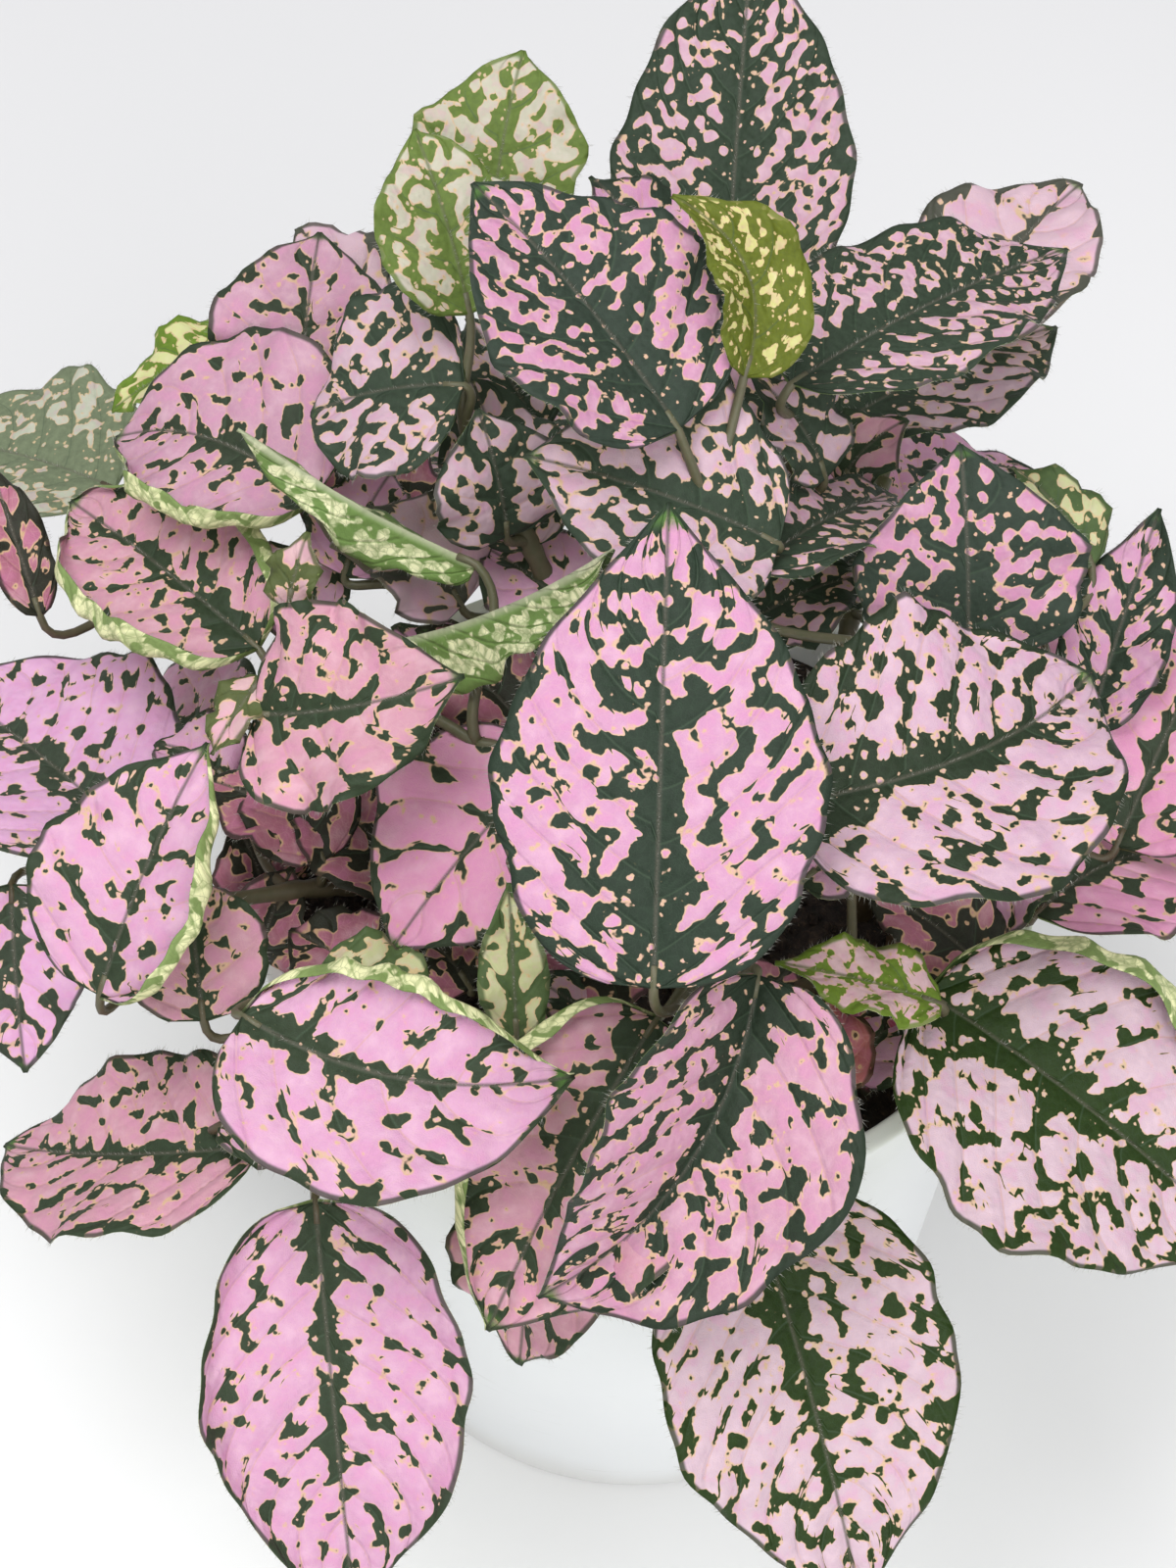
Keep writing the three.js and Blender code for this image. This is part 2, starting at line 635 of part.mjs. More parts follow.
const plant = new THREE.Group();

function place(name, geometry, color, roughness) {
  const material = new THREE.MeshStandardMaterial({ color, roughness, metalness: 0 });
  const mesh = new THREE.Mesh(geometry, material);
  mesh.name = name;
  plant.add(mesh);
}

place("pot", potGeometry(), 0xeceef0, 0.35);
place("soil", soilGeometry(), 0x2b2320, 0.95);
for (const stem of stems) {
  place(stem.name, stemGeometry(stem), 0xe3a3bf, 0.5);
}

export default plant;
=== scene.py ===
"""The looks of a polka dot plant in a plain tapered pot.

Every leaf is a thin closed blade, quilted between its veins, on a stalk that grows from its stem. The
pattern of each leaf is worked out from where a point lies on the blade. The plant's own places are in
millimetres, as a grower would measure them, and the meshes are in metres.
"""
import math
from dataclasses import dataclass

import bpy
import numpy as np
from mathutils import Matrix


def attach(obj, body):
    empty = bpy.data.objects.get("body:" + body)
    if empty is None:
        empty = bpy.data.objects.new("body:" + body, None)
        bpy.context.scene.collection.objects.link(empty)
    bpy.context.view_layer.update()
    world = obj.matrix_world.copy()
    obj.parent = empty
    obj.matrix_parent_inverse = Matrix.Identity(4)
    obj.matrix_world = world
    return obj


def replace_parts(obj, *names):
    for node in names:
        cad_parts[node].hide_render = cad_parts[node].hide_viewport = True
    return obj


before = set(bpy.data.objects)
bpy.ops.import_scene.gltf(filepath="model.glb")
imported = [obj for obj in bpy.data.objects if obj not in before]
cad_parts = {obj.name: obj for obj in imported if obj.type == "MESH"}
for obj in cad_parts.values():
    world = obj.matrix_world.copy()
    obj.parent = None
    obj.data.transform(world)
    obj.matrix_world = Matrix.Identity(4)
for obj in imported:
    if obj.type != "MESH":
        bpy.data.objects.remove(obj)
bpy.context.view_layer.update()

MM = 0.001

# ---- The plant's dimensions, in millimetres --------------------------------------------------------

POT_HEIGHT = 118
POT_RIM = 60
POT_BASE = 50
POT_WALL = 2.2
POT_FLOOR = 3
LIP_HEIGHT = 9
LIP_PROUD = 1.2
DRAIN_HOLES = 6
DRAIN_RADIUS = 4.5
DRAIN_RING = 30

SOIL_DEPTH = 10
SOIL_MOUND = 3
LUMP_HEIGHT = 1.2
LUMP_PITCH = 30
SOIL_EDGE = POT_HEIGHT - SOIL_DEPTH
FOOT_ROUND = 3
CRUMBS = 700
GAP = 0.3

STEM_RISE = 2
STEM_UPRIGHT = 0.6
STEM_FOOT = 1.7
STEM_HEAD = 1.1
STALK_AT_STEM = 0.9
STALK_AT_BLADE = 0.6
STALK_EASE = 0.4
STALK_RISE = 0.8
STALK_UNDER = 0.35
STALK_LAP = 3.0
JOINT_SWELL = 0.45
JOINT_REACH = 0.035
ROOT_DEPTH = 12

BLADE_THICKNESS = 0.34
WIDEST_PLACE = 0.43
BASE_ROUNDNESS = 0.45
BLADE_END = 0.35
MARGIN_WAVES = 2.3
FINE_WAVES = 6.21
FINE_WAVE_SHARE = 0.4
CURL_START = 0.7
CURL_TURN = 0.18
CURVE_STEPS = 24
VEIN_GAP = 7.0
VEIN_SWEEP = 0.3
QUILT = 0.6
GROOVE = 0.22
KEEL = 0.5
CELL = 1.0
SPINE = 0.21
DOT_SIZE = 2.3
NET_SIZE = 2.1
HAIR_LENGTH = 0.9
HAIR_RADIUS = 0.03
HAIR_GAP = 0.5


def srgb(red, green, blue):
    """A colour as it is read off a screen, 0 to 255, made linear."""
    share = np.array([red, green, blue]) / 255
    linear = np.where(share <= 0.04045, share / 12.92, ((share + 0.055) / 1.055) ** 2.4)
    return (*(float(part) for part in linear), 1.0)


# ---- The leaves ------------------------------------------------------------------------------------

@dataclass
class Leaf:
    """A leaf from base, where its stalk meets the blade, to tip. Turns are in degrees.

    start is where its stalk leaves the stem, from 0 at the soil to 1 at the head. roll turns the blade
    about its midrib and lowers its right edge. arch and bow bend the midrib up and to the right. fold
    lifts each half, cup lifts the margins further, and curl rolls the left and right margins over.
    """
    look: str
    base: tuple
    tip: tuple
    width: float
    start: float = 1
    roll: float = 0
    arch: float = 2.5
    bow: float = 0
    fold: float = 10
    cup: float = 0
    curl: tuple = (0, 0)
    wave: float = 1.6


@dataclass
class Look:
    """What a leaf is coloured with: the share of its face that is pink, how fine its blotches are, how
    ragged their edges are, and its colours."""
    share: float
    fine: float
    ragged: float
    pink: tuple
    green: tuple
    back_pale: tuple = srgb(228, 228, 178)
    back_green: tuple = srgb(122, 142, 84)


LOOKS = {
    "rose": Look(0.66, 1.6, 0.2, srgb(199, 147, 179), srgb(40, 53, 41)),
    "pink": Look(0.83, 1.75, 0.16, srgb(205, 155, 186), srgb(48, 60, 42)),
    "coral": Look(0.71, 1.9, 0.2, srgb(194, 145, 168), srgb(40, 52, 39)),
    "salmon": Look(0.78, 1.8, 0.16, srgb(202, 149, 166), srgb(48, 61, 42)),
    "hot": Look(0.86, 1.4, 0.12, srgb(216, 150, 184), srgb(48, 58, 42)),
    "cream": Look(0.71, 1.8, 0.2, srgb(200, 174, 187), srgb(36, 55, 16)),
    "shell": Look(0.69, 1.8, 0.2, srgb(198, 165, 184), srgb(38, 50, 33)),
    "orchid": Look(0.53, 2.2, 0.1, srgb(196, 142, 172), srgb(46, 58, 48)),
    # The next look is a lighter, bluer pink. Its hue is the leaves' own, and its extra lightness is
    # painted light for far-left leaves that sit in shade.
    "lilac_painted_light": Look(0.8, 1.75, 0.16, srgb(216, 165, 204), srgb(54, 64, 50)),
    "muted": Look(0.82, 1.75, 0.16, srgb(192, 146, 168), srgb(48, 58, 42)),
    "dark": Look(0.52, 2.3, 0.08, srgb(198, 160, 178), srgb(47, 60, 46)),
    "mauve": Look(0.61, 2.0, 0.1, srgb(198, 168, 183), srgb(50, 63, 49)),
    "dusky": Look(0.68, 1.3, 0.12, srgb(170, 106, 125), srgb(43, 43, 34),
                  back_pale=srgb(205, 140, 150), back_green=srgb(130, 100, 90)),
    "lime": Look(0.5, 1.9, 0.15, srgb(210, 214, 150), srgb(104, 132, 44)),
    "lime_back": Look(0.6, 1.9, 0.12, srgb(190, 194, 145), srgb(76, 95, 56),
                      back_pale=srgb(232, 232, 188), back_green=srgb(112, 140, 76)),
    "olive": Look(0.46, 3.3, 0.2, srgb(206, 204, 132), srgb(98, 108, 34)),
    "faded": Look(0.5, 2.0, 0.12, srgb(184, 190, 170), srgb(116, 127, 100)),
    "magenta": Look(0.75, 1.2, 0.12, srgb(170, 76, 112), srgb(48, 45, 36)),
    "blush": Look(0.84, 1.2, 0.12, srgb(204, 173, 187), srgb(76, 77, 68)),
    "sprig": Look(0.74, 1.3, 0.12, srgb(204, 167, 171), srgb(84, 93, 53)),
    "sprig_green": Look(0.66, 2.6, 0.25, srgb(206, 172, 178), srgb(100, 124, 40)),
    "pale_lime": Look(0.58, 2.2, 0.12, srgb(190, 188, 168), srgb(100, 120, 56)),
    "red": Look(0.85, 1.2, 0.12, srgb(166, 94, 94), srgb(73, 55, 39),
                back_pale=srgb(176, 92, 104), back_green=srgb(120, 84, 74)),
}

# Each stem: its name, its foot in the soil, its head, and its leaves.
STEMS = [
    ("stem_front_middle", (6, -20), (7, -44, 152), [
        Leaf("rose", (0, -56, 168), (2, -6, 204), 42, arch=4, fold=8, cup=-14, wave=0.8),
        Leaf("coral", (14, -48, 159), (-15, -77, 125), 41, roll=-42, arch=5, bow=-5, fold=34, wave=2),
        Leaf("salmon", (1, -47, 147), (-22, -77, 115), 41,
             start=0.85, roll=-4, arch=4, fold=8, curl=(0, 150)),
        Leaf("dusky", (10, -18, 126), (2, -8, 132), 16, start=0.3),
    ]),
    ("stem_front_right", (20, -24), (36, -36, 134), [
        Leaf("cream", (39, -37, 138), (83, -66, 117), 53, roll=6, arch=4, curl=(150, 0), wave=2.2),
        Leaf("sprig_green", (40, -42, 143), (17, -40, 150), 13, arch=1),
        Leaf("magenta", (36, -24, 120), (32, -38, 112), 11, start=0.5),
        Leaf("dusky", (30, -15, 138), (33, -2, 142), 16, start=0.7),
        Leaf("pink", (30, -37, 115), (39, -26, 118), 15, start=0.3),
        Leaf("red", (27, -43, 121), (25, -30, 127), 13, start=0.3),
        Leaf("dusky", (14, -32, 118), (22, -22, 122), 16, start=0.3),
    ]),
    ("stem_right_middle", (16, -6), (19, -18, 166), [
        Leaf("shell", (18, -31, 174), (61, -4, 168), 44, roll=18, arch=5, bow=5, fold=12),
        Leaf("pink", (21, -27, 150), (32, -20, 150), 14, start=0.8),
    ]),
    ("stem_right", (34, -4), (56, 2, 126), [
        Leaf("rose", (68, 15, 132), (79, 42, 152), 17),
        Leaf("hot", (72, 0, 122), (92, 37, 138), 36),
        Leaf("hot", (58, -14, 124), (91, 9, 108), 34, bow=-3),
        Leaf("red", (48, -16, 121), (35, -22, 118), 11, start=0.8),
        Leaf("hot", (60, 30, 122), (88, 60, 96), 32, start=0.8),
        Leaf("dusky", (51, -26, 124), (32, -14, 132), 20, start=0.7),
        Leaf("pink", (59, -4, 128), (45, -15, 118), 18),
        Leaf("dark", (62, 32, 136), (47, 43, 142), 18),
        Leaf("rose", (73, 14, 120), (80, 27, 128), 16),
        Leaf("dusky", (51, -7, 128), (59, 4, 132), 14, start=0.7),
        Leaf("dark", (52, 18, 130), (62, 26, 134), 16, start=0.9),
    ]),
    ("stem_front", (0, -36), (4, -52, 124), [
        Leaf("cream", (14, -60, 123), (30, -104, 84), 43, arch=4, wave=1.6),
        Leaf("salmon", (-12, -57, 128), (-18, -73, 96), 25, roll=8),
        Leaf("red", (-18, -46, 127), (-34, -55, 120), 12, start=0.8, arch=1),
    ]),
    ("stem_front_left", (-22, -27), (-44, -42, 126), [
        Leaf("pink", (-46, -61, 122), (-41, -104, 80), 40, arch=4, curl=(30, 60), wave=2.2),
        Leaf("salmon", (-54, -52, 122), (-96, -38, 98), 34, arch=2, bow=-3),
        Leaf("pink", (-60, -50, 124), (-35, -55, 121), 13, start=0.8),
        Leaf("dusky", (-40, -26, 122), (-52, -18, 126), 18, start=0.6),
    ]),
    ("stem_left_front", (-16, -14), (-44, -34, 138), [
        Leaf("pink", (-54, -49, 151), (-10, -56, 147), 36, roll=20, arch=3, bow=5, curl=(150, 0), wave=2),
        Leaf("lime_back", (-45, -36, 143), (-28, -40, 139), 14, arch=1),
        Leaf("salmon", (-62, -39, 134), (-65, -19, 142), 21, start=0.9),
        Leaf("dusky", (-25, -31, 130), (-36, -20, 134), 16, start=0.6),
        Leaf("dusky", (-14, -18, 120), (-26, -6, 124), 18, start=0.3),
    ]),
    ("stem_left", (-34, -4), (-62, -16, 130), [
        Leaf("pink", (-76, -38, 139), (-61, -10, 160), 31, curl=(0, 120)),
        # The next two leaves have the lighter, bluer pink look. This is painted light, making up for the
        # shade they sit in.
        Leaf("lilac_painted_light", (-95, -7, 122), (-93, -29, 104), 22),
        Leaf("lilac_painted_light", (-77, -3, 130), (-112, 35, 118), 44),
        Leaf("dusky", (-48, -6, 132), (-65, 2, 136), 18, start=0.6),
        Leaf("dusky", (-34, -10, 126), (-54, 7, 134), 22, start=0.3),
        Leaf("dusky", (-47, -10, 132), (-57, 7, 136), 18, start=0.7),
        Leaf("dusky", (-41, -1, 124), (-27, -11, 120), 18, start=0.6),
        Leaf("pink", (-47, 10, 134), (-56, 18, 138), 16, start=0.5),
        Leaf("pink", (-62, 6, 130), (-74, 12, 132), 16, start=0.8),
    ]),
    ("stem_left_middle", (-26, 8), (-52, 6, 156), [
        Leaf("salmon", (-57, 16, 150), (-90, 53, 142), 38, roll=-14, curl=(130, 150), wave=1.6),
        Leaf("salmon", (-55, -4, 159), (-25, -8, 172), 31, roll=30, bow=2, fold=10, cup=12, wave=3),
        Leaf("sprig", (-50, 6, 170), (-47, 13, 178), 8, arch=1),
        Leaf("sprig", (-54, 1, 161), (-61, -9, 156), 8, arch=1),
    ]),
    ("stem_left_back", (-20, 24), (-46, 32, 156), [
        Leaf("muted", (-49, 34, 162), (-82, 57, 152), 40, roll=-18, arch=4, bow=3, curl=(120, 0)),
        Leaf("muted", (-53, 61, 156), (-50, 82, 172), 30),
        Leaf("blush", (-43, 76, 160), (-55, 92, 164), 16, start=0.9),
        Leaf("pink", (-45, 30, 150), (-38, 46, 156), 18, start=0.8),
        Leaf("pink", (-28, 16, 136), (-38, 27, 142), 16, start=0.4),
    ]),
    ("stem_far_left", (-34, 18), (-66, 50, 132), [
        Leaf("lime", (-62, 82, 148), (-87, 79, 136), 18),
        Leaf("faded", (-88, 75, 122), (-127, 100, 108), 40),
        Leaf("dusky", (-94, 36, 134), (-103, 58, 146), 10),
        Leaf("pink", (-62, 24, 122), (-92, 38, 94), 32, start=0.6),
        Leaf("pink", (-49, 28, 140), (-61, 41, 144), 18, start=0.6),
    ]),
    ("stem_back_left", (-8, 22), (-26, 36, 174), [
        Leaf("mauve", (-26, 38, 182), (-49, 42, 172), 34, roll=-16),
        Leaf("pale_lime", (-25, 44, 190), (-33, 66, 205), 22),
        Leaf("dusky", (-34, 46, 140), (-59, 68, 144), 24, start=0.6),
        Leaf("mauve", (-17, 28, 158), (-26, 52, 170), 20, start=0.7),
        Leaf("mauve", (-16, 50, 160), (-27, 69, 166), 14, start=0.8),
        Leaf("pink", (-6, 16, 150), (-24, 34, 152), 22, start=0.4),
        Leaf("dark", (-2, 28, 140), (7, 39, 146), 18, start=0.3),
        Leaf("mauve", (-20, 25, 164), (-24, 34, 181), 22, start=0.7),
        Leaf("blush", (-27, 24, 150), (-41, 34, 161), 22, start=0.5),
    ]),
    ("stem_back", (0, 38), (2, 62, 160), [
        Leaf("pale_lime", (-23, 73, 180), (-18, 93, 198), 27),
        Leaf("dark", (12, 56, 168), (17, 113, 205), 37, roll=-4, fold=14),
        Leaf("dark", (-20, 60, 130), (-34, 100, 112), 34, start=0.5),
        Leaf("rose", (20, 66, 128), (30, 104, 108), 36, start=0.5),
        Leaf("dark", (2, 64, 125), (4, 100, 96), 32, start=0.4),
        Leaf("rose", (5, 64, 176), (-8, 76, 188), 18),
        Leaf("dark", (-16, 44, 140), (-26, 54, 146), 18, start=0.4),
        Leaf("dark", (-6, 54, 150), (6, 62, 156), 16, start=0.7),
    ]),
    ("stem_middle", (4, 8), (8, 12, 180), [
        Leaf("orchid", (4, 16, 195), (-24, 46, 212), 36),
        Leaf("mauve", (18, 9, 180), (-17, 15, 191), 34, roll=-16),
        Leaf("olive", (13, 24, 197), (3, 41, 214), 17, bow=5, fold=34),
        Leaf("dark", (12, 11, 158), (32, 21, 160), 20, start=0.6),
        Leaf("dark", (6, 28, 158), (15, 42, 160), 18, start=0.6),
        Leaf("dusky", (6, 9, 150), (-4, 20, 160), 18, start=0.4),
    ]),
    ("stem_back_right", (18, 26), (22, 36, 174), [
        Leaf("dark", (20, 30, 190), (64, 69, 180), 31),
        Leaf("mauve", (22, 23, 150), (37, 39, 146), 18, start=0.6),
        Leaf("dark", (22, 41, 168), (13, 55, 173), 14, start=0.9),
        Leaf("dark", (9, 33, 172), (-8, 39, 180), 18, start=0.8),
        Leaf("dark", (19, 28, 140), (26, 37, 148), 16, start=0.4),
    ]),
    ("stem_far_right", (30, 26), (38, 54, 146), [
        Leaf("blush", (47, 70, 161), (72, 103, 164), 30),
        Leaf("mauve", (30, 52, 160), (67, 80, 154), 30),
        Leaf("rose", (44, 62, 128), (72, 88, 110), 34, start=0.6),
        Leaf("dusky", (37, 28, 140), (45, 15, 138), 18, start=0.6),
        Leaf("dark", (20, 40, 140), (10, 50, 144), 18, start=0.6),
    ]),
    ("stem_right_back", (32, 10), (42, 10, 152), [
        Leaf("orchid", (46, 7, 158), (44, 26, 182), 34),
        Leaf("dark", (14, 6, 178), (38, 39, 158), 21),
        Leaf("lime_back", (68, 32, 150), (56, 45, 158), 13),
        Leaf("dark", (48, 36, 150), (60, 46, 156), 16, start=0.9),
    ]),
    ("stem_middle_left", (-8, -4), (-24, -4, 152), [
        Leaf("lime_back", (-41, 11, 155), (-5, -5, 194), 16, roll=176, fold=62),
        Leaf("hot", (-13, -7, 152), (-36, -30, 138), 35),
        Leaf("lime_back", (-24, 14, 170), (-58, 31, 180), 14, roll=172, fold=58),
        Leaf("dusky", (-3, -23, 136), (-14, -38, 128), 20, start=0.7),
        Leaf("lime_back", (-18, -45, 139), (-19, -31, 156), 10, start=0.7, arch=1),
        Leaf("lime_back", (-15, -29, 152), (-4, -37, 141), 9, start=0.65, arch=1),
        Leaf("dusky", (-14, 5, 138), (-34, 23, 146), 22, start=0.5),
        Leaf("dark", (-3, -41, 128), (-16, -32, 134), 14, start=0.3),
    ]),
]

# Small leaves deep in the plant, by the stem they grow from.
INNER_LEAVES = {
    "stem_back_right": [Leaf("mauve", (26, 29, 172), (15, 38, 184), 15, start=0.8)],
    "stem_far_right": [Leaf("salmon", (30, 43, 156), (40, 49, 164), 14, start=0.8)],
    "stem_left": [
        Leaf("dusky", (-58, -3, 112), (-62, 3, 126), 16, start=0.7),
        Leaf("dusky", (-57, -18, 116), (-52, -8, 128), 15, start=0.8),
    ],
}


# ---- Meshes ----------------------------------------------------------------------------------------

def unit(vectors):
    """Vectors made one long."""
    return vectors / np.linalg.norm(vectors, axis=-1, keepdims=True)


def dot(a, b):
    """The dot products of two arrays of vectors, with a last axis of one to multiply by."""
    return (a * b).sum(-1, keepdims=True)


def grid_faces(rows, columns, first=0, round_columns=False):
    """The faces of a grid of points, row by row: each joins a point to its next column and next row.
    With round_columns the last column is joined to the first."""
    i, j = np.meshgrid(np.arange(rows - 1), np.arange(columns - (not round_columns)), indexing="ij")
    after = (j + 1) % columns
    corners = [i * columns + j, i * columns + after, (i + 1) * columns + after, (i + 1) * columns + j]
    return first + np.stack(corners, -1).reshape(-1, 4)


def make_piece(name, points, faces, finish, slot, smooth=True):
    """A mesh piece from points in millimetres and faces as arrays of corners, riding on the plant."""
    mesh = bpy.data.meshes.new(name)
    mesh.from_pydata((np.concatenate(points).reshape(-1, 3) * MM).tolist(), [],
                     [face for block in faces for face in block.tolist()])
    mesh.polygons.foreach_set("use_smooth", np.full(len(mesh.polygons), smooth))
    mesh.materials.append(finish)
    piece = bpy.data.objects.new(name, mesh)
    bpy.context.scene.collection.objects.link(piece)
    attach(piece, "root")
    return piece


def give_attribute(piece, name, kind, values):
    """Values for each point of a piece, which its finish reads by name."""
    key = {"FLOAT": "value", "FLOAT_VECTOR": "vector", "FLOAT_COLOR": "color"}[kind]
    attribute = piece.data.attributes.new(name, kind, "POINT")
    attribute.data.foreach_set(key, np.ascontiguousarray(values, dtype=np.float32).ravel())


def tube(path, radii, sides):
    """A round tube along a path: each ring is the point + radius (side cos a + across sin a), where
    side stays as square to the path as it can to one fixed direction. Both ends are closed."""
    along = unit(np.gradient(path, axis=0))
    fixed = unit(np.cross(path[-1] - path[0], np.array([0.07, 0.02, 1.0])))
    side = unit(fixed - along * dot(along, fixed))
    across = np.cross(along, side)
    turn = np.linspace(0, 2 * np.pi, sides, endpoint=False)[:, None]
    ring = side[:, None] * np.cos(turn) + across[:, None] * np.sin(turn)
    points = path[:, None] + ring * radii[:, None, None]
    faces = [grid_faces(len(path), sides, round_columns=True),
             np.arange(sides)[None, ::-1], (len(path) - 1) * sides + np.arange(sides)[None]]
    return points.reshape(-1, 3), faces


def lathe(profile, sides):
    """A profile of (radius, height) turned about the upright axis, with a flat disc at each end."""
    profile = np.array(profile, dtype=float)
    turn = np.linspace(0, 2 * np.pi, sides, endpoint=False)
    radius = profile[:, :1]
    height = profile[:, 1:]
    points = np.stack([radius * np.cos(turn), radius * np.sin(turn), height + 0 * turn], -1)
    faces = [grid_faces(len(profile), sides, round_columns=True),
             np.arange(sides)[None, ::-1], (len(profile) - 1) * sides + np.arange(sides)[None]]
    return points, faces


# ---- Materials -------------------------------------------------------------------------------------

class Wire:
    """One output in a material. Arithmetic on it adds Math nodes."""

    def __init__(self, finish, socket):
        self.finish = finish
        self.socket = socket

    def maths(self, operation, *values):
        """A Math node of any operation on the given values."""
        return self.finish.node("ShaderNodeMath", {"operation": operation}, dict(enumerate(values)))

    def __add__(self, other):
        return self.maths("ADD", self, other)

    def __sub__(self, other):
        return self.maths("SUBTRACT", self, other)

    def __rsub__(self, other):
        return self.maths("SUBTRACT", other, self)

    def __mul__(self, other):
        return self.maths("MULTIPLY", self, other)

    __radd__ = __add__
    __rmul__ = __mul__


class Finish:
    """A material in the making, with one Principled surface."""

    def __init__(self, name):
        self.material = bpy.data.materials.new(name)
        self.material.use_nodes = True
        self.tree = self.material.node_tree
        self.surface = self.tree.nodes["Principled BSDF"]

    def node(self, kind, settings, values, output=0):
        """A node of a kind, its settings, the values or wires of its inputs, and one of its outputs."""
        made = self.tree.nodes.new(kind)
        for key, setting in settings.items():
            if key == "stops":
                for element, (place, colour) in zip(self.stops(made, len(setting)), setting):
                    element.position = place
                    element.color = colour
            else:
                setattr(made, key, setting)
        for key, value in values.items():
            if isinstance(value, Wire):
                self.tree.links.new(value.socket, made.inputs[key])
            else:
                made.inputs[key].default_value = value
        return Wire(self, made.outputs[output])

    def stops(self, ramp, count):
        """The stops of a colour ramp, brought up to a count."""
        elements = ramp.color_ramp.elements
        while len(elements) < count:
            elements.new(0.5)
        return elements

    def number(self, name):
        """A number that the mesh holds at each point, by its name."""
        return self.node("ShaderNodeAttribute", {"attribute_name": name}, {}, "Fac")

    def vector(self, name):
        """A vector that the mesh holds at each point, by its name."""
        return self.node("ShaderNodeAttribute", {"attribute_name": name}, {}, "Vector")

    def colour(self, name):
        """A colour that the mesh holds at each point, by its name."""
        return self.node("ShaderNodeAttribute", {"attribute_name": name}, {}, "Color")

    def place(self):
        """A point's place in the object, in metres."""
        return self.node("ShaderNodeTexCoord", {}, {}, "Object")

    def part(self, vector, axis):
        """One of a vector's three parts, by its letter."""
        return self.node("ShaderNodeSeparateXYZ", {}, {0: vector}, axis)

    def noise(self, place, size, detail=2, roughness=0.5):
        """Soft noise from 0 to 1 with features of about the given size, in the place's own units."""
        values = {"Vector": place, "Scale": 1 / size, "Detail": detail, "Roughness": roughness}
        return self.node("ShaderNodeTexNoise", {}, values, "Fac")

    def cells(self, place, size, feature="F1", output="Distance"):
        """Cells of about the given size, by the distance to a cell's middle or to its edge."""
        return self.node("ShaderNodeTexVoronoi", {"feature": feature},
                         {"Vector": place, "Scale": 1 / size}, output)

    def ease(self, value, low, high):
        """0 up to low and 1 from high on, with a soft change between."""
        return self.node("ShaderNodeMapRange", {"interpolation_type": "SMOOTHSTEP"},
                         {"Value": value, "From Min": low, "From Max": high})

    def near(self, value, reach):
        """1 where the value is 0, falling to 0 at the reach on either side."""
        return 1 - self.ease(value.maths("ABSOLUTE", value), 0.0, reach)

    def mix(self, share, first, second):
        """The first colour, with a share from 0 to 1 of the second."""
        return self.node("ShaderNodeMix", {"data_type": "RGBA"}, {0: share, 6: first, 7: second}, 2)

    def shade(self, colour, amount):
        """A colour made lighter or darker by an amount that is a wire."""
        return self.node("ShaderNodeVectorMath", {"operation": "SCALE"}, {0: colour, "Scale": amount})

    def bump(self, height, distance, strength=1.0):
        """Relief of a height from 0 to 1 that stands for a distance in metres."""
        values = {"Height": height, "Distance": distance, "Strength": strength}
        return self.node("ShaderNodeBump", {}, values)

    def finish(self, **sockets):
        """Sets or links the surface's sockets, named with _ for a space, and returns the material."""
        for key, value in sockets.items():
            socket = self.surface.inputs[key.replace("_", " ")]
            if isinstance(value, Wire):
                self.tree.links.new(value.socket, socket)
            else:
                socket.default_value = value
        return self.material


def blotches(leaf, flat, veined, rib, rim, to_vein):
    """How far a point lies within the pink: over 0 the blade is pink there, and under 0 it is green.

    The field is noise drawn out along the veins and noise that is alike each way, plus finer noise that
    scallops the edges of the blotches. It is lower in patches along the margin and the side veins, and
    in a band along the midrib that narrows towards the tip. The leaf's own threshold is taken from it.
    Round dots of each colour, bent a little out of round, lie in the other.
    """
    drawn = leaf.noise(veined, 6.0, 0.0)
    even = leaf.noise(flat, 4.6, 0.0)
    patchy = leaf.noise(flat, 8.0, 0.0)
    scallop = leaf.noise(flat, 2.2, 0.0) * 0.6 + leaf.noise(flat, 1.1, 0.0) * 0.4
    branch = leaf.near(leaf.noise(veined, 5.0, 1.0) - 0.5, 0.045) * leaf.ease(patchy, 0.4, 0.6)
    field = drawn * 0.34 + even * 0.66 + (scallop - 0.5 - branch * 0.5) * leaf.number("ragged")
    spine = leaf.near(rib, leaf.number("spine")) * leaf.ease(leaf.number("tipward"), 0.95, 0.45)
    field = field - spine * (patchy * 0.3 + 0.12)
    field = field - leaf.near(to_vein, 1.2) * (patchy * 0.44 - 0.13)
    field = field - leaf.near(rim, 2.0) * leaf.ease(patchy, 0.42, 0.62) * 0.3
    inside = field - leaf.number("threshold")

    wobble_values = {"Vector": flat, "Scale": 0.9, "Detail": 1.0}
    wobble = leaf.node("ShaderNodeTexNoise", {}, wobble_values, "Color")
    bent = leaf.node("ShaderNodeVectorMath", {"operation": "ADD"}, {0: flat, 1: wobble})
    dot_place = leaf.cells(bent, DOT_SIZE)
    dot_draw = leaf.part(leaf.cells(bent, DOT_SIZE, output="Color"), "X")
    pink_dot = ((dot_draw - 0.64) * 1.1 - dot_place) * 0.2
    green_dot = ((0.11 - dot_draw) * 2.6 - dot_place) * 0.2
    inside = inside.maths("MAXIMUM", inside, pink_dot)
    return inside.maths("MINIMUM", inside, 0 - green_dot)


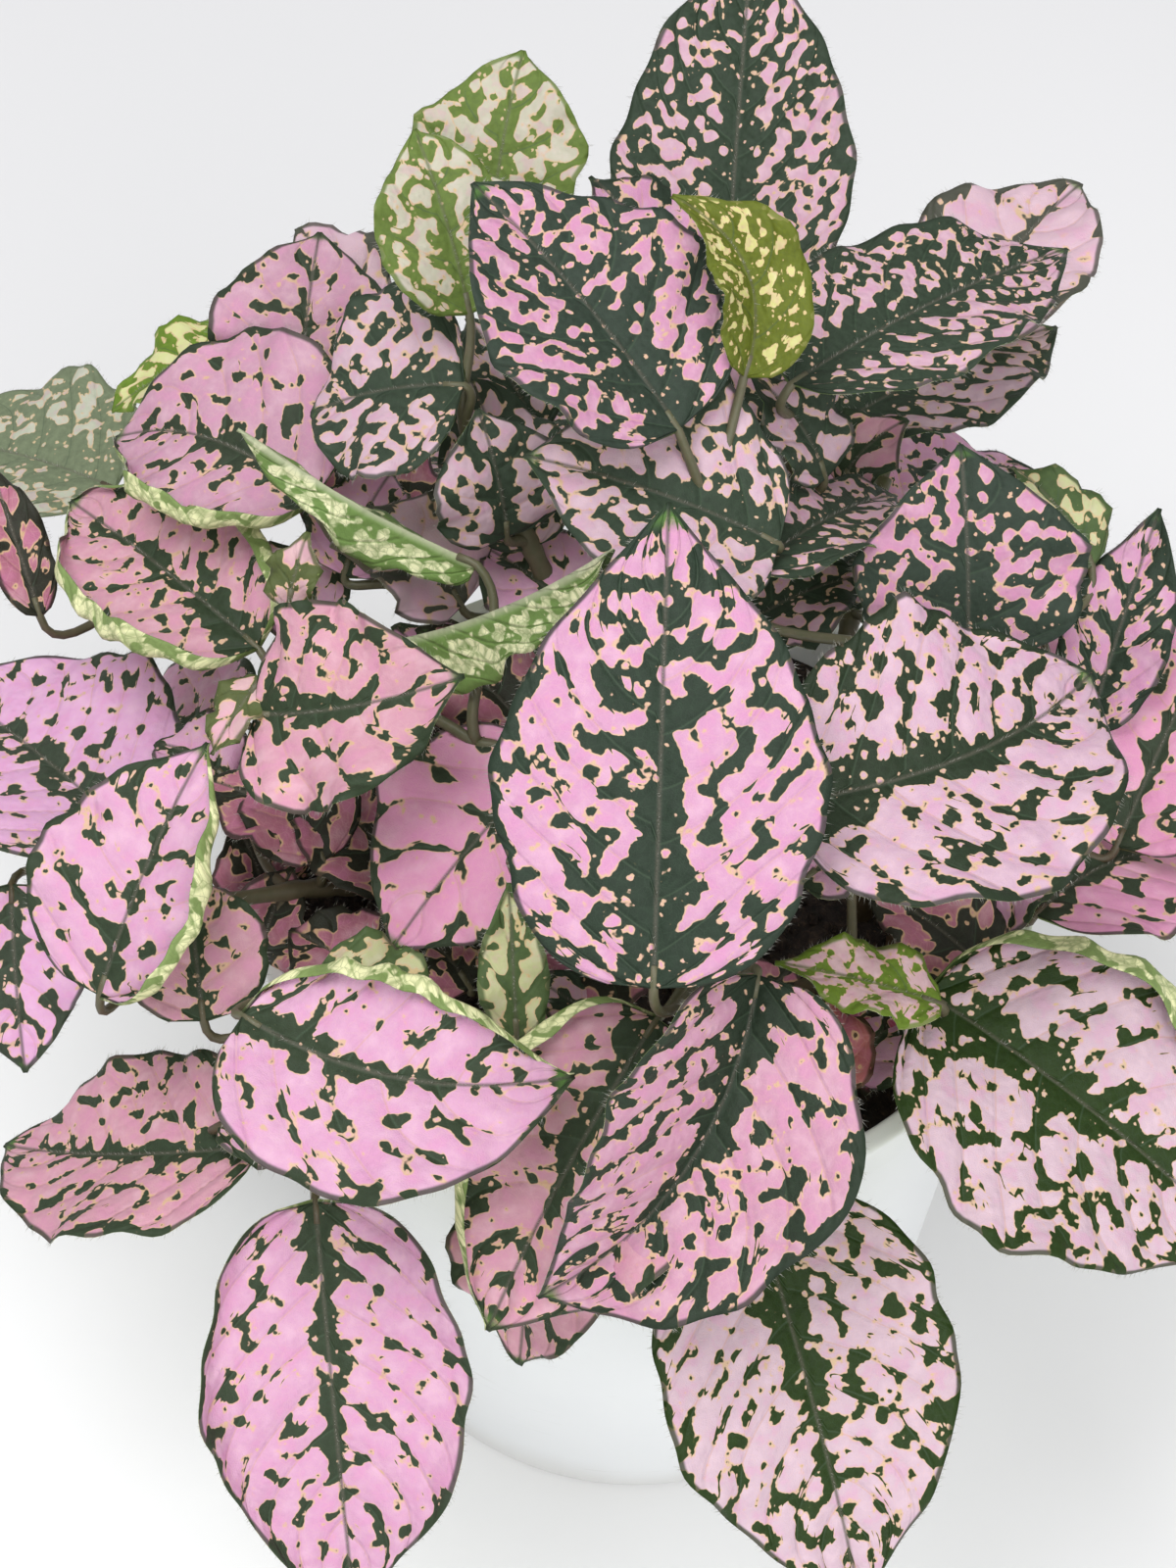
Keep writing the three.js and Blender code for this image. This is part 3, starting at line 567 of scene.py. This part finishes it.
def upper_colour(leaf, inside, flat, rib, rim, to_vein, net):
    """The upper face: mottled pink on mottled green, a thin cream line where they meet, fine veins, a
    dull midrib, a green margin and a fresh green tip."""
    soft = leaf.noise(flat, 6.0, 4.0)
    pink = leaf.colour("pink")
    green = leaf.colour("green")
    fair = leaf.mix(0.22, pink, srgb(240, 214, 222))
    deep = leaf.mix(0.22, pink, srgb(214, 130, 182))
    rosy = leaf.mix(leaf.ease(soft, 0.36, 0.5), deep, pink)
    rosy = leaf.mix(leaf.ease(soft, 0.46, 0.74), rosy, fair)
    rosy = leaf.mix(leaf.near(inside, 0.07) * 0.42, rosy, srgb(222, 160, 158))
    leafy = leaf.shade(green, leaf.noise(flat, 2.4, 3.0) * 0.7 + 0.65)

    is_pink = leaf.ease(inside, -0.007, 0.008)
    top = leaf.mix(is_pink, leafy, rosy)
    cream_line = leaf.near(inside - 0.013, 0.025)
    top = leaf.mix(cream_line * 0.66, top, srgb(204, 182, 122))
    tip = leaf.ease(leaf.number("tipward"), 0.93, 0.97)
    top = leaf.mix(tip * 0.85, top, srgb(84, 120, 56))

    vein = leaf.near(to_vein, 0.26) * leaf.ease(rim, 1.0, 4.0)
    top = leaf.mix(vein * 0.45, top, leaf.mix(is_pink, srgb(66, 84, 64), srgb(196, 150, 128)))
    top = leaf.mix(net * 0.12, top, leaf.mix(is_pink, srgb(64, 86, 66), srgb(220, 184, 170)))
    midrib = leaf.mix(leaf.noise(flat, 0.5), green, srgb(104, 98, 88))
    top = leaf.mix(leaf.near(rib, 0.5) * 0.8, top, midrib)
    return leaf.mix(leaf.ease(rim, 1.0, 0.5) * 0.88, top, green)


def under_colour(leaf, inside, flat, rib, to_vein, net):
    """The underside: the same blotches, paler, with a green net of veins over them."""
    green = leaf.colour("back_green")
    back = leaf.mix(leaf.ease(inside, -0.03, 0.03), green, leaf.colour("back_pale"))
    back = leaf.mix(leaf.near(to_vein, 0.4) * 0.6, back, green)
    glow = leaf.near(leaf.cells(flat, 2 * NET_SIZE, "DISTANCE_TO_EDGE"), 0.2)
    back = leaf.mix(glow * 0.55, back, green)
    back = leaf.mix(net * 0.45, back, leaf.shade(green, 0.75))
    return leaf.mix(leaf.near(rib, 0.9) * 0.8, back, srgb(176, 178, 150))


def leaf_finish():
    """A soft, slightly hairy blade, puffed between the finest veins and creased along the side veins."""
    leaf = Finish("leaf")
    across = leaf.number("across")
    phase = leaf.number("vein_phase")
    flat = leaf.vector("flat_spot")
    veined = leaf.vector("vein_spot")
    rim = leaf.number("rim")
    rib = across.maths("ABSOLUTE", across)
    to_vein = (phase - phase.maths("ROUND", phase)) * VEIN_GAP
    net = leaf.near(leaf.cells(flat, NET_SIZE, "DISTANCE_TO_EDGE"), 0.07)
    inside = blotches(leaf, flat, veined, rib, rim, to_vein)
    top = upper_colour(leaf, inside, flat, rib, rim, to_vein, net)
    back = under_colour(leaf, inside, flat, rib, to_vein, net)

    pillow = leaf.cells(flat, NET_SIZE, "SMOOTH_F1")
    grain = leaf.noise(flat, 0.35, 2.0)
    crease = leaf.near(to_vein, 0.9)
    height = grain * 0.3 - pillow * 0.7 - crease * 0.5 + leaf.near(rib, 0.5) * 0.3
    return leaf.finish(
        Base_Color=leaf.mix(leaf.number("under"), top, back),
        Roughness=leaf.noise(flat, 1.2) * 0.2 + 0.46,
        Normal=leaf.bump(height, 0.0003, 0.9),
        Specular_IOR_Level=0.22,
    )


def stem_finish():
    """Dull olive stems that turn brown towards the soil, mottled with fine streaks."""
    stem = Finish("stem")
    place = stem.place()
    height = stem.part(place, "Z")
    young = stem.ease(height + (stem.noise(place, 0.008) - 0.5) * 0.03, 0.108, 0.15)
    streak = stem.noise(place, 0.0012, 3)
    old = stem.mix(streak, srgb(58, 46, 34), srgb(86, 72, 52))
    fresh = stem.mix(streak, srgb(76, 84, 56), srgb(106, 96, 76))
    return stem.finish(
        Base_Color=stem.mix(young, old, fresh),
        Roughness=streak * 0.2 + 0.4,
        Normal=stem.bump(streak, 0.0002, 0.5),
    )


def hair_finish():
    """Fine colourless hairs, a little uneven."""
    hair = Finish("hair")
    tone = hair.noise(hair.place(), 0.002)
    return hair.finish(Base_Color=hair.mix(tone, srgb(150, 150, 140), srgb(196, 194, 186)), Roughness=0.6)


def pot_finish():
    """White moulded plastic: a satin skin with faint ripples, a few scuffs, and a darker, browner band at
    the base.
    """
    pot = Finish("pot")
    place = pot.place()
    broad = pot.noise(place, 0.03, 3)
    fine = pot.noise(place, 0.0006, 2)
    stretched = pot.node("ShaderNodeMapping", {}, {"Vector": place, "Scale": (1, 1, 12)})
    scuff = pot.ease(pot.noise(stretched, 0.02, 5, 0.7), 0.62, 0.74)
    # A darker, browner band near the base of the pot.
    low = 1 - pot.ease(pot.part(place, "Z") + broad * 0.01, 0.004, 0.016)
    colour = pot.mix(broad, srgb(226, 229, 231), srgb(236, 238, 239))
    colour = pot.mix(scuff * 0.25, colour, srgb(205, 205, 200))
    colour = pot.mix(low * 0.3, colour, srgb(190, 182, 168))
    return pot.finish(
        Base_Color=colour,
        Roughness=broad * 0.12 + scuff * 0.15 + 0.28,
        Normal=pot.bump(broad * 0.5 + fine * 0.06, 0.0004, 0.35),
    )


def soil_finish():
    """Dark moist peat: crumbs of near black and brown, with paler fibres."""
    soil = Finish("soil")
    place = soil.place()
    crumb = soil.noise(place, 0.0018, 6, 0.65)
    fibre = soil.ease(soil.noise(place, 0.0007, 2), 0.62, 0.72)
    colour = soil.node("ShaderNodeValToRGB", {"stops": [
        (0.3, srgb(14, 11, 10)), (0.52, srgb(44, 33, 28)), (0.72, srgb(92, 74, 62)),
    ]}, {"Fac": crumb}, "Color")
    return soil.finish(
        Base_Color=soil.mix(fibre * 0.35, colour, srgb(126, 100, 76)),
        Roughness=crumb * 0.25 + 0.72,
        Normal=soil.bump(crumb + fibre * 0.3, 0.0015, 0.9),
    )


def floor_finish():
    """Plain pale ground, a little lighter in front as painted light where the plant's shade falls, with
    the least change of tone.
    """
    floor = Finish("floor")
    place = floor.place()
    pale = floor.mix(floor.noise(place, 0.4, 2), srgb(232, 232, 234), srgb(236, 236, 238))
    # Painted light: the floor is lightened towards the front, where the plant's shade falls.
    front = floor.ease(floor.part(place, "Y"), 0.05, -0.2)
    return floor.finish(Base_Color=floor.mix(front, pale, srgb(247, 247, 248)), Roughness=0.8)


# ---- Pot and soil ----------------------------------------------------------------------------------

def pot_radius(height):
    """The pot's outer radius at a height, without the lip."""
    return POT_BASE + (POT_RIM - LIP_PROUD - POT_BASE) * height / POT_HEIGHT


def rounded(corners, radius, steps=5):
    """An outline through corners, each turned in an arc-like curve that starts and ends a radius away:
    the curve is (1-t)^2 a + 2t(1-t) corner + t^2 b."""
    corners = np.array(corners, dtype=float)
    t = np.linspace(0, 1, steps)[:, None]
    outline = [corners[:1]]
    for before, corner, after in zip(corners[:-2], corners[1:-1], corners[2:]):
        reach_in = min(radius, 0.45 * np.linalg.norm(corner - before))
        reach_out = min(radius, 0.45 * np.linalg.norm(after - corner))
        a = corner + unit(before - corner) * reach_in
        b = corner + unit(after - corner) * reach_out
        outline.append((1 - t) ** 2 * a + 2 * t * (1 - t) * corner + t ** 2 * b)
    return np.concatenate([*outline, corners[-1:]])


def drain_cutters():
    """A ring of upright rods, as long as the pot's floor is thick and a little more."""
    turn = (np.arange(DRAIN_HOLES) + 0.5) * 2 * np.pi / DRAIN_HOLES
    points, faces, first = [], [], 0
    for x, y in zip(DRAIN_RING * np.cos(turn), DRAIN_RING * np.sin(turn)):
        rod, sides = lathe([(DRAIN_RADIUS, -1), (DRAIN_RADIUS, POT_FLOOR + 1)], 32)
        points.append((rod + np.array([x, y, 0])).reshape(-1, 3))
        faces += [block + first for block in sides]
        first += len(points[-1])
    return points, faces


def make_pot(finish):
    """The pot is a rounded profile turned about its axis, with drain holes cut through its base."""
    lip_foot = POT_HEIGHT - LIP_HEIGHT
    corners = [
        (0.5, 0), (POT_BASE, 0), (pot_radius(lip_foot - LIP_PROUD), lip_foot - LIP_PROUD),
        (pot_radius(lip_foot) + LIP_PROUD, lip_foot), (POT_RIM, POT_HEIGHT),
        (pot_radius(POT_HEIGHT) - POT_WALL, POT_HEIGHT), (pot_radius(POT_FLOOR) - POT_WALL - 1, POT_FLOOR),
        (0.5, POT_FLOOR),
    ]
    points, faces = lathe(rounded(corners, 1.0), 144)
    pot = make_piece("white_pot", [points], faces, finish, "pot")
    cutter = make_piece("drain_cutter", *drain_cutters(), finish, "pot")
    cut = pot.modifiers.new("drain", "BOOLEAN")
    cut.operation = "DIFFERENCE"
    cut.object = cutter
    cut.solver = "EXACT"
    graph = bpy.context.evaluated_depsgraph_get()
    whole = bpy.data.meshes.new_from_object(pot.evaluated_get(graph))
    pot.modifiers.clear()
    pot.data = whole
    bpy.data.objects.remove(cutter)
    pot.data.set_sharp_from_angle(angle=math.radians(40))
    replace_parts(pot, "pot")


def soil_height(x, y):
    """A low mound with a few soft lumps, flat at the pot's wall."""
    out = np.hypot(x, y) / POT_RIM
    wave = 2 * np.pi / LUMP_PITCH
    lump = LUMP_HEIGHT * np.sin(wave * x) * np.cos(wave * y)
    return SOIL_EDGE + np.maximum(0, 1 - out ** 2) * (SOIL_MOUND + lump)


def soil_relief(x, y):
    """Crumbly relief: a sum of crossed sines, each time with a smaller pitch and height, and turned."""
    relief = np.zeros_like(x)
    for octave in range(5):
        turn = 0.9 * octave + 0.4
        pitch = 9.0 / 1.8 ** octave
        a = x * np.cos(turn) + y * np.sin(turn) + 3 * octave
        b = y * np.cos(turn) - x * np.sin(turn)
        relief += 0.55 / 1.5 ** octave * np.sin(2 * np.pi * a / pitch + 2 * np.sin(b / pitch)) \
            * np.sin(2 * np.pi * b / pitch + 2 * np.sin(a / pitch))
    return relief


def make_soil(finish):
    """The soil fills the pot: a flat foot, a side that follows the pot's wall and a crumbly top."""
    rings, sides = 70, 200
    edge = pot_radius(SOIL_EDGE) - POT_WALL - GAP
    turn = np.linspace(0, 2 * np.pi, sides, endpoint=False)
    radius = edge * np.linspace(1, 0.004, rings)[:, None]
    x = radius * np.cos(turn)
    y = radius * np.sin(turn)
    relief = soil_relief(x, y) * np.clip((edge - radius) / 4, 0, 1) - 0.4
    top = np.stack([x, y, soil_height(x, y) + relief], -1)
    floor = POT_FLOOR + GAP
    foot = pot_radius(POT_FLOOR) - POT_WALL - FOOT_ROUND - GAP
    wall = pot_radius(POT_FLOOR + FOOT_ROUND) - POT_WALL - GAP
    side = np.stack([np.stack([r * np.cos(turn), r * np.sin(turn), h + 0 * turn], -1)
                     for r, h in ((0.3, floor), (foot, floor), (wall, floor + FOOT_ROUND))])
    points = np.concatenate([side, top])
    rows = len(points)
    faces = [grid_faces(rows, sides, round_columns=True), np.arange(sides)[None, ::-1],
             (rows - 1) * sides + np.arange(sides)[None]]
    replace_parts(make_piece("potting_soil", [points], faces, finish, "soil"), "soil")


def make_crumbs(finish):
    """Loose crumbs that lie on the soil, spread evenly over it: most small, each squashed its own way.

    A crumb is a ball of a few belts whose points are pushed in and out at random."""
    draw = np.random.default_rng(7)
    edge = pot_radius(SOIL_EDGE) - POT_WALL - GAP
    spread = edge * 0.97 * np.sqrt(draw.random(CRUMBS))
    angle = draw.random(CRUMBS) * 2 * np.pi
    size = 0.5 + 1.5 * draw.random(CRUMBS) ** 3
    middle = np.stack([spread * np.cos(angle), spread * np.sin(angle)], -1)
    middle = np.column_stack([middle, soil_height(*middle.T) + size * 0.3])
    belts, ring = 5, 6
    tilt = np.linspace(0.08, np.pi - 0.08, belts)[:, None]
    swing = np.linspace(0, 2 * np.pi, ring, endpoint=False)
    ball = np.stack([np.sin(tilt) * np.cos(swing), np.sin(tilt) * np.sin(swing),
                     -np.cos(tilt) + 0 * swing], -1)
    rough = 0.7 + 0.5 * draw.random((CRUMBS, belts, ring, 1))
    squash = 0.6 + 0.6 * draw.random((CRUMBS, 1, 1, 3))
    bits = middle[:, None, None] + ball * rough * squash * size[:, None, None, None]
    one = [grid_faces(belts, ring, round_columns=True), np.arange(ring)[None, ::-1],
           (belts - 1) * ring + np.arange(ring)[None]]
    first = (np.arange(CRUMBS) * belts * ring)[:, None, None]
    faces = [(block + first).reshape(-1, block.shape[1]) for block in one]
    make_piece("soil_crumbs", [bits.reshape(-1, 3)], faces, finish, "soil", smooth=False)


# ---- Stems and leaves ------------------------------------------------------------------------------

def stem_point(foot, head, t):
    """A stem's middle line: a quadratic curve from the soil, straight up at first, to its head."""
    t = np.asarray(t, dtype=float)[..., None]
    low = np.array([*foot, soil_height(*foot) + STEM_RISE], dtype=float)
    head = np.array(head, dtype=float)
    above = np.array([*foot, low[2] + (head[2] - low[2]) * STEM_UPRIGHT])
    return (1 - t) ** 2 * low + 2 * t * (1 - t) * above + t ** 2 * head


def leaf_half_width(leaf, u):
    """Half the width at u along the blade: the arch sin(pi u^k), where k puts its top at the widest
    place, to a power that rounds it before that place. Its edge runs in and out a little."""
    k = math.log(0.5) / math.log(WIDEST_PLACE)
    arch = np.clip(np.sin(np.pi * np.clip(u, 0, 1) ** k), 0, 1)
    share = np.where(u < WIDEST_PLACE, arch ** BASE_ROUNDNESS, arch)
    phase = 0.31 * leaf.base[0] + 0.17 * leaf.tip[1]
    broad = 0.025 * np.sin(2 * np.pi * (3.1 * u + phase))
    fine = 0.012 * np.sin(2 * np.pi * (7.3 * u + 2 * phase))
    return np.maximum(leaf.width / 2 * share * (1 + broad + fine), BLADE_END)


def leaf_frame(leaf, u):
    """The midrib at u, with the direction along it, the one to the right and the upper face's.

    The midrib is the line from base to tip, bowed by arch and bow times 4u(1-u), in a frame that is
    turned about that line by the leaf's roll."""
    u = np.asarray(u, dtype=float)[..., None]
    base = np.array(leaf.base, dtype=float)
    chord = np.array(leaf.tip, dtype=float) - base
    line = unit(chord)
    up = np.array([0, 0, 1.0])
    level_face = unit(up - line * (line @ up))
    level_right = np.cross(line, level_face)
    turn = math.radians(leaf.roll)
    face = level_face * math.cos(turn) + level_right * math.sin(turn)
    right = level_right * math.cos(turn) - level_face * math.sin(turn)
    bend = 4 * u * (1 - u)
    slope = 4 * (1 - 2 * u)
    point = base + chord * u + face * leaf.arch * bend + right * leaf.bow * bend
    along = unit(chord + face * leaf.arch * slope + right * leaf.bow * slope)
    normal = unit(face - along * dot(along, face))
    return point, along, np.cross(along, normal), normal


def leaf_surface(leaf, u, v):
    """The middle surface of a blade at u along it and v across it, from -1 to 1.

    Each half leaves the midrib at the fold's angle, which grows with cup and, from CURL_START on, with
    curl, all of it within CURL_TURN. The angle's cosine and sine, summed from the midrib out, give how
    far out and up a point lies. A ripple v^2 sin(2 pi (waves u + phase)) runs along the margins, with
    a finer one |v|^3 sin(2 pi (finer waves u + phase)) on it. Both fade towards the base and the tip.
    """
    point, along, right, normal = leaf_frame(leaf, u)
    half = leaf_half_width(leaf, u)
    share = np.abs(v)
    steps = (np.arange(CURVE_STEPS) + 0.5) / CURVE_STEPS
    at = share[..., None] * steps
    curl = np.where(v < 0, *leaf.curl)[..., None]
    rolled = np.clip((at - CURL_START) / CURL_TURN, 0, 1)
    angle = np.radians(leaf.fold + leaf.cup * at + curl * rolled)
    out = np.cos(angle).mean(-1) * share
    lift = np.sin(angle).mean(-1) * share
    phase = 0.13 * leaf.base[0] + 0.07 * leaf.base[1] + 0.45 * (v >= 0)
    fade = np.clip(np.sin(np.pi * u), 0, 1)
    broad = share ** 2 * np.sin(2 * np.pi * (MARGIN_WAVES * u + phase)) * np.sqrt(fade)
    fine = share ** 3 * np.sin(2 * np.pi * (FINE_WAVES * u + 2.3 * phase)) * fade
    rise = lift * half + leaf.wave * (broad + FINE_WAVE_SHARE * fine)
    return point + right * (np.sign(v) * out * half)[..., None] + normal * rise[..., None]


def surface_normals(points):
    """Unit normals of a grid of points: its step across, crossed with its step along."""
    return unit(np.cross(np.gradient(points, axis=1), np.gradient(points, axis=0)))


def blade_grid(leaf):
    """u along and v across at each point of a blade. Rows lie closer near both ends, and a blade whose
    margins roll over has more columns."""
    rows = max(14, round(math.dist(leaf.base, leaf.tip) / CELL))
    finer = 1.7 if max(map(abs, leaf.curl)) > 60 else 1.0
    columns = 2 * max(5, round(leaf.width / CELL / 2 * finer))
    even = np.linspace(0, 1, rows + 1)
    u = 0.35 * (0.5 - 0.5 * np.cos(np.pi * even)) + 0.65 * even
    return np.meshgrid(u, np.linspace(-1, 1, columns + 1), indexing="ij")


def sheet_faces(rows, columns):
    """The faces of two grids of points, one over the other, and of the band that joins their borders."""
    count = rows * columns
    last = columns - 1
    upper = grid_faces(rows, columns)
    lower = grid_faces(rows, columns, first=count)[:, ::-1]
    border = np.concatenate([
        np.arange(last), np.arange(rows - 1) * columns + last,
        (rows - 1) * columns + np.arange(last, 0, -1), np.arange(rows - 1, 0, -1) * columns,
    ])
    after = np.roll(border, -1)
    band = np.stack([border, border + count, after + count, after], -1)
    return [upper, lower, band]


def make_leaf(name, leaf, finish, seed):
    """A blade: the surface, quilted between its veins and grooved over its midrib, set off by half its
    thickness up and down, with a keel along the underside of its midrib."""
    length = math.dist(leaf.base, leaf.tip)
    u, v = blade_grid(leaf)
    half = leaf_half_width(leaf, u)
    across = v * half
    along = u * length
    veins = max(3, round(length / VEIN_GAP))
    phase = veins * (u - VEIN_SWEEP * np.abs(v) ** 1.4) + 0.35 * (v >= 0)
    rim = np.minimum((1 - np.abs(v)) * half, 0.5 * (length - along) + 0.2)
    surface = leaf_surface(leaf, u, v)
    normal = surface_normals(surface)
    spread = np.clip(half / 8, 0, 1) * np.clip(rim / 3, 0, 1) * np.clip(np.abs(across) / 2, 0, 1)
    quilt = QUILT * spread * (np.abs(np.sin(np.pi * phase)) - 0.5)
    groove = GROOVE * np.exp(-(across / 0.9) ** 2) * np.clip(half / 4, 0, 1)
    keel = KEEL * (1 - 0.7 * u) * np.exp(-(across / 0.8) ** 2)
    surface = surface + normal * (quilt - groove)[..., None]
    thick = BLADE_THICKNESS / 2 * np.clip(rim / 0.6, 0.25, 1)
    top = surface + normal * thick[..., None]
    back = surface - normal * (thick + keel)[..., None]
    piece = make_piece(name, [top.reshape(-1, 3), back.reshape(-1, 3)], sheet_faces(*u.shape), finish,
                       "foliage")
    give_pattern(piece, leaf, u, across, along, phase, rim, seed)
    return piece


def give_pattern(piece, leaf, u, across, along, phase, rim, seed):
    """What the leaf's finish reads, for both faces: places in the pattern, shifted by the leaf's number
    and made finer by its look, and the look's own values."""
    look = LOOKS[leaf.look]
    shift_across = 37.0 * seed
    shift_along = 91.0 * seed
    side = np.tanh(across / 0.6) * 4
    flat_spot = [across * look.fine + shift_across, along * look.fine + shift_along, 0 * u]
    vein_spot = [phase * VEIN_GAP * look.fine + shift_along,
                 np.abs(across) * 0.6 * look.fine + shift_across, side]
    for key, place in (("flat_spot", flat_spot), ("vein_spot", vein_spot)):
        give_attribute(piece, key, "FLOAT_VECTOR", np.tile(np.stack(place, -1).reshape(-1, 3), (2, 1)))
    numbers = {
        "across": across,
        "vein_phase": phase,
        "rim": rim,
        "tipward": u,
        "spine": SPINE * leaf.width * (1.15 - u) * (1.4 - look.share),
        "ragged": look.ragged + 0 * u,
        "threshold": 0.5 - (look.share - 0.5) * 0.42 + 0 * u,
    }
    for key, values in numbers.items():
        give_attribute(piece, key, "FLOAT", np.tile(values.ravel(), 2))
    give_attribute(piece, "under", "FLOAT", np.repeat([0.0, 1.0], u.size))
    for key in ("pink", "green", "back_pale", "back_green"):
        give_attribute(piece, key, "FLOAT_COLOR", np.tile(getattr(look, key), (2 * u.size, 1)))


def stalk_path(foot, head, leaf):
    """A leaf's stalk: a cubic curve that leaves the stem outwards and upwards and runs in under the
    start of the midrib."""
    start = stem_point(foot, head, leaf.start)
    point, along, _, normal = leaf_frame(leaf, 0.0)
    end = point - normal * STALK_UNDER
    reach = np.linalg.norm(end - start)
    stem_along = unit(start - stem_point(foot, head, leaf.start - 0.2))
    leaving = (unit(end - start) + stem_along) / 2
    t = np.linspace(0, 1, 15)[:, None]
    arriving = unit(along + np.array([0, 0, STALK_RISE]))
    controls = [start, start + leaving * STALK_EASE * reach, end - arriving * STALK_EASE * reach, end]
    weights = [(1 - t) ** 3, 3 * t * (1 - t) ** 2, 3 * t ** 2 * (1 - t), t ** 3]
    path = sum(weight * control for weight, control in zip(weights, controls))
    return np.concatenate([path, end + along * STALK_LAP * np.array([[0.5], [1.0]])])


def make_stem(name, foot, head, leaves, finish):
    """A stem, swollen a little where its stalks leave, and the stalks of its leaves."""
    t = np.linspace(0, 1, 30)
    path = stem_point(foot, head, t)
    root = np.array([[*foot, SOIL_EDGE - ROOT_DEPTH], [*foot, SOIL_EDGE - 2]], dtype=float)
    path = np.concatenate([root, path])
    radii = STEM_FOOT + (STEM_HEAD - STEM_FOOT) * np.concatenate([[0, 0], t])
    for joint in {leaf.start for leaf in leaves}:
        radii[2:] += JOINT_SWELL * np.exp(-((t - joint) / JOINT_REACH) ** 2)
    blocks = [tube(path, radii, 12)]
    for leaf in leaves:
        line = stalk_path(foot, head, leaf)
        blocks.append(tube(line, np.linspace(STALK_AT_STEM, STALK_AT_BLADE, len(line)), 8))
    starts = np.cumsum([0] + [len(points) for points, _ in blocks])
    faces = [face + first for (_, block), first in zip(blocks, starts) for face in block]
    return make_piece(name, [points for points, _ in blocks], faces, finish, "foliage")


def spikes(roots, ways, length, radius):
    """A three-sided spike on each root: corners root + radius (side cos a + across sin a), and a tip
    at root + way * length."""
    side = unit(np.cross(ways, np.array([0.31, 0.17, 0.93])))
    across = np.cross(ways, side)
    turn = np.radians([0, 120, 240])[:, None]
    corners = roots[:, None] + radius * (side[:, None] * np.cos(turn) + across[:, None] * np.sin(turn))
    points = np.concatenate([corners, (roots + ways * length[:, None])[:, None]], 1)
    first = 4 * np.arange(len(roots))[:, None, None]
    return points.reshape(-1, 3), (first + np.array([[0, 1, 3], [1, 2, 3], [2, 0, 3]])).reshape(-1, 3)


def make_hairs(name, foot, head, leaves, finish, seed):
    """The fine hairs of a stem's leaves: they stand out from the margins, up from the midribs and
    all round the stalks, each leaning a little its own way."""
    draw = np.random.default_rng(seed)
    roots, ways = [], []
    for leaf in leaves:
        count = round(math.dist(leaf.base, leaf.tip) / HAIR_GAP)
        u = draw.uniform(0.02, 0.98, (2, count))
        v = np.array([[-1.0], [1.0]]) + 0 * u
        margin = leaf_surface(leaf, u, v)
        roots.append(margin)
        ways.append(unit(margin - leaf_surface(leaf, u, 0.92 * v)))
        u = draw.uniform(0.02, 0.8, (1, count // 2))
        roots.append(leaf_surface(leaf, u, 0 * u))
        ways.append(leaf_frame(leaf, u)[3])
        line = stalk_path(foot, head, leaf)
        number = np.arange(len(line))
        at = draw.uniform(0.3, 1, (1, count)) * number[-1]
        roots.append(np.stack([np.interp(at, number, line[:, axis]) for axis in range(3)], -1))
        ways.append(unit(draw.normal(0, 1, (1, count, 3))))
    roots = np.concatenate([block.reshape(-1, 3) for block in roots])
    ways = np.concatenate([block.reshape(-1, 3) for block in ways])
    ways = unit(ways + draw.normal(0, 0.25, ways.shape))
    points, faces = spikes(roots, ways, HAIR_LENGTH * draw.uniform(0.5, 1.3, len(roots)), HAIR_RADIUS)
    return make_piece(name, [points], [faces], finish, "foliage")


def make_plant():
    """Each stem's hairs, its stalks and its leaves. A leaf's number shifts its pattern."""
    leaf_skin = leaf_finish()
    stem_skin = stem_finish()
    hair_skin = hair_finish()
    seed = 0
    for name, foot, head, leaves in STEMS:
        leaves = leaves + INNER_LEAVES.get(name, [])
        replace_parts(make_hairs(name + "_hairs", foot, head, leaves, hair_skin, seed), name)
        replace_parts(make_stem(name + "_stalks", foot, head, leaves, stem_skin), name)
        for number, leaf in enumerate(leaves, 1):
            seed += 1
            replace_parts(make_leaf(f"{name}_leaf_{number}", leaf, leaf_skin, seed), name)


# ---- The scene round it ----------------------------------------------------------------------------

def add_light(name, place, aim, size, power):
    """A square soft light at a place, turned to face a point."""
    light = bpy.data.lights.new(name, "AREA")
    light.size = size
    light.energy = power
    lamp = bpy.data.objects.new(name, light)
    lamp.location = place
    direction = np.array(aim) - np.array(place)
    lamp.rotation_euler = (math.acos(-direction[2] / np.linalg.norm(direction)), 0,
                           math.atan2(direction[1], direction[0]) - math.pi / 2)
    bpy.context.scene.collection.objects.link(lamp)


def set_stage():
    """A plain pale floor, soft studio light, and the camera that looks down on the plant's front."""
    half = 4.0
    mesh = bpy.data.meshes.new("floor")
    corners = [(-half, -half, 0), (half, -half, 0), (half, half, 0), (-half, half, 0)]
    mesh.from_pydata(corners, [], [(0, 1, 2, 3)])
    mesh.materials.append(floor_finish())
    floor = bpy.data.objects.new("floor", mesh)
    bpy.context.scene.collection.objects.link(floor)

    world = bpy.data.worlds.new("studio")
    world.use_nodes = True
    world.node_tree.nodes["Background"].inputs["Color"].default_value = (1.0, 1.0, 1.0, 1.0)
    world.node_tree.nodes["Background"].inputs["Strength"].default_value = 0.5
    bpy.context.scene.world = world
    bpy.context.scene.view_settings.view_transform = "Standard"
    add_light("softbox", (-0.26, -0.1, 1.15), (0, 0, 0.12), 0.6, 7.2)
    add_light("front_fill", (0.35, -0.95, 0.8), (0.06, -0.2, 0.0), 1.1, 9.0)

    lens = bpy.data.cameras.new("camera")
    lens.sensor_fit = "VERTICAL"
    lens.sensor_height = 36.0
    lens.lens = 63.0
    camera = bpy.data.objects.new("camera", lens)
    camera.location = (-0.00825, -0.2468, 0.4581)
    camera.rotation_euler = (math.radians(37.6), 0, 0)
    bpy.context.scene.collection.objects.link(camera)
    bpy.context.scene.camera = camera


set_stage()
make_pot(pot_finish())
peat = soil_finish()
make_soil(peat)
make_crumbs(peat)
make_plant()
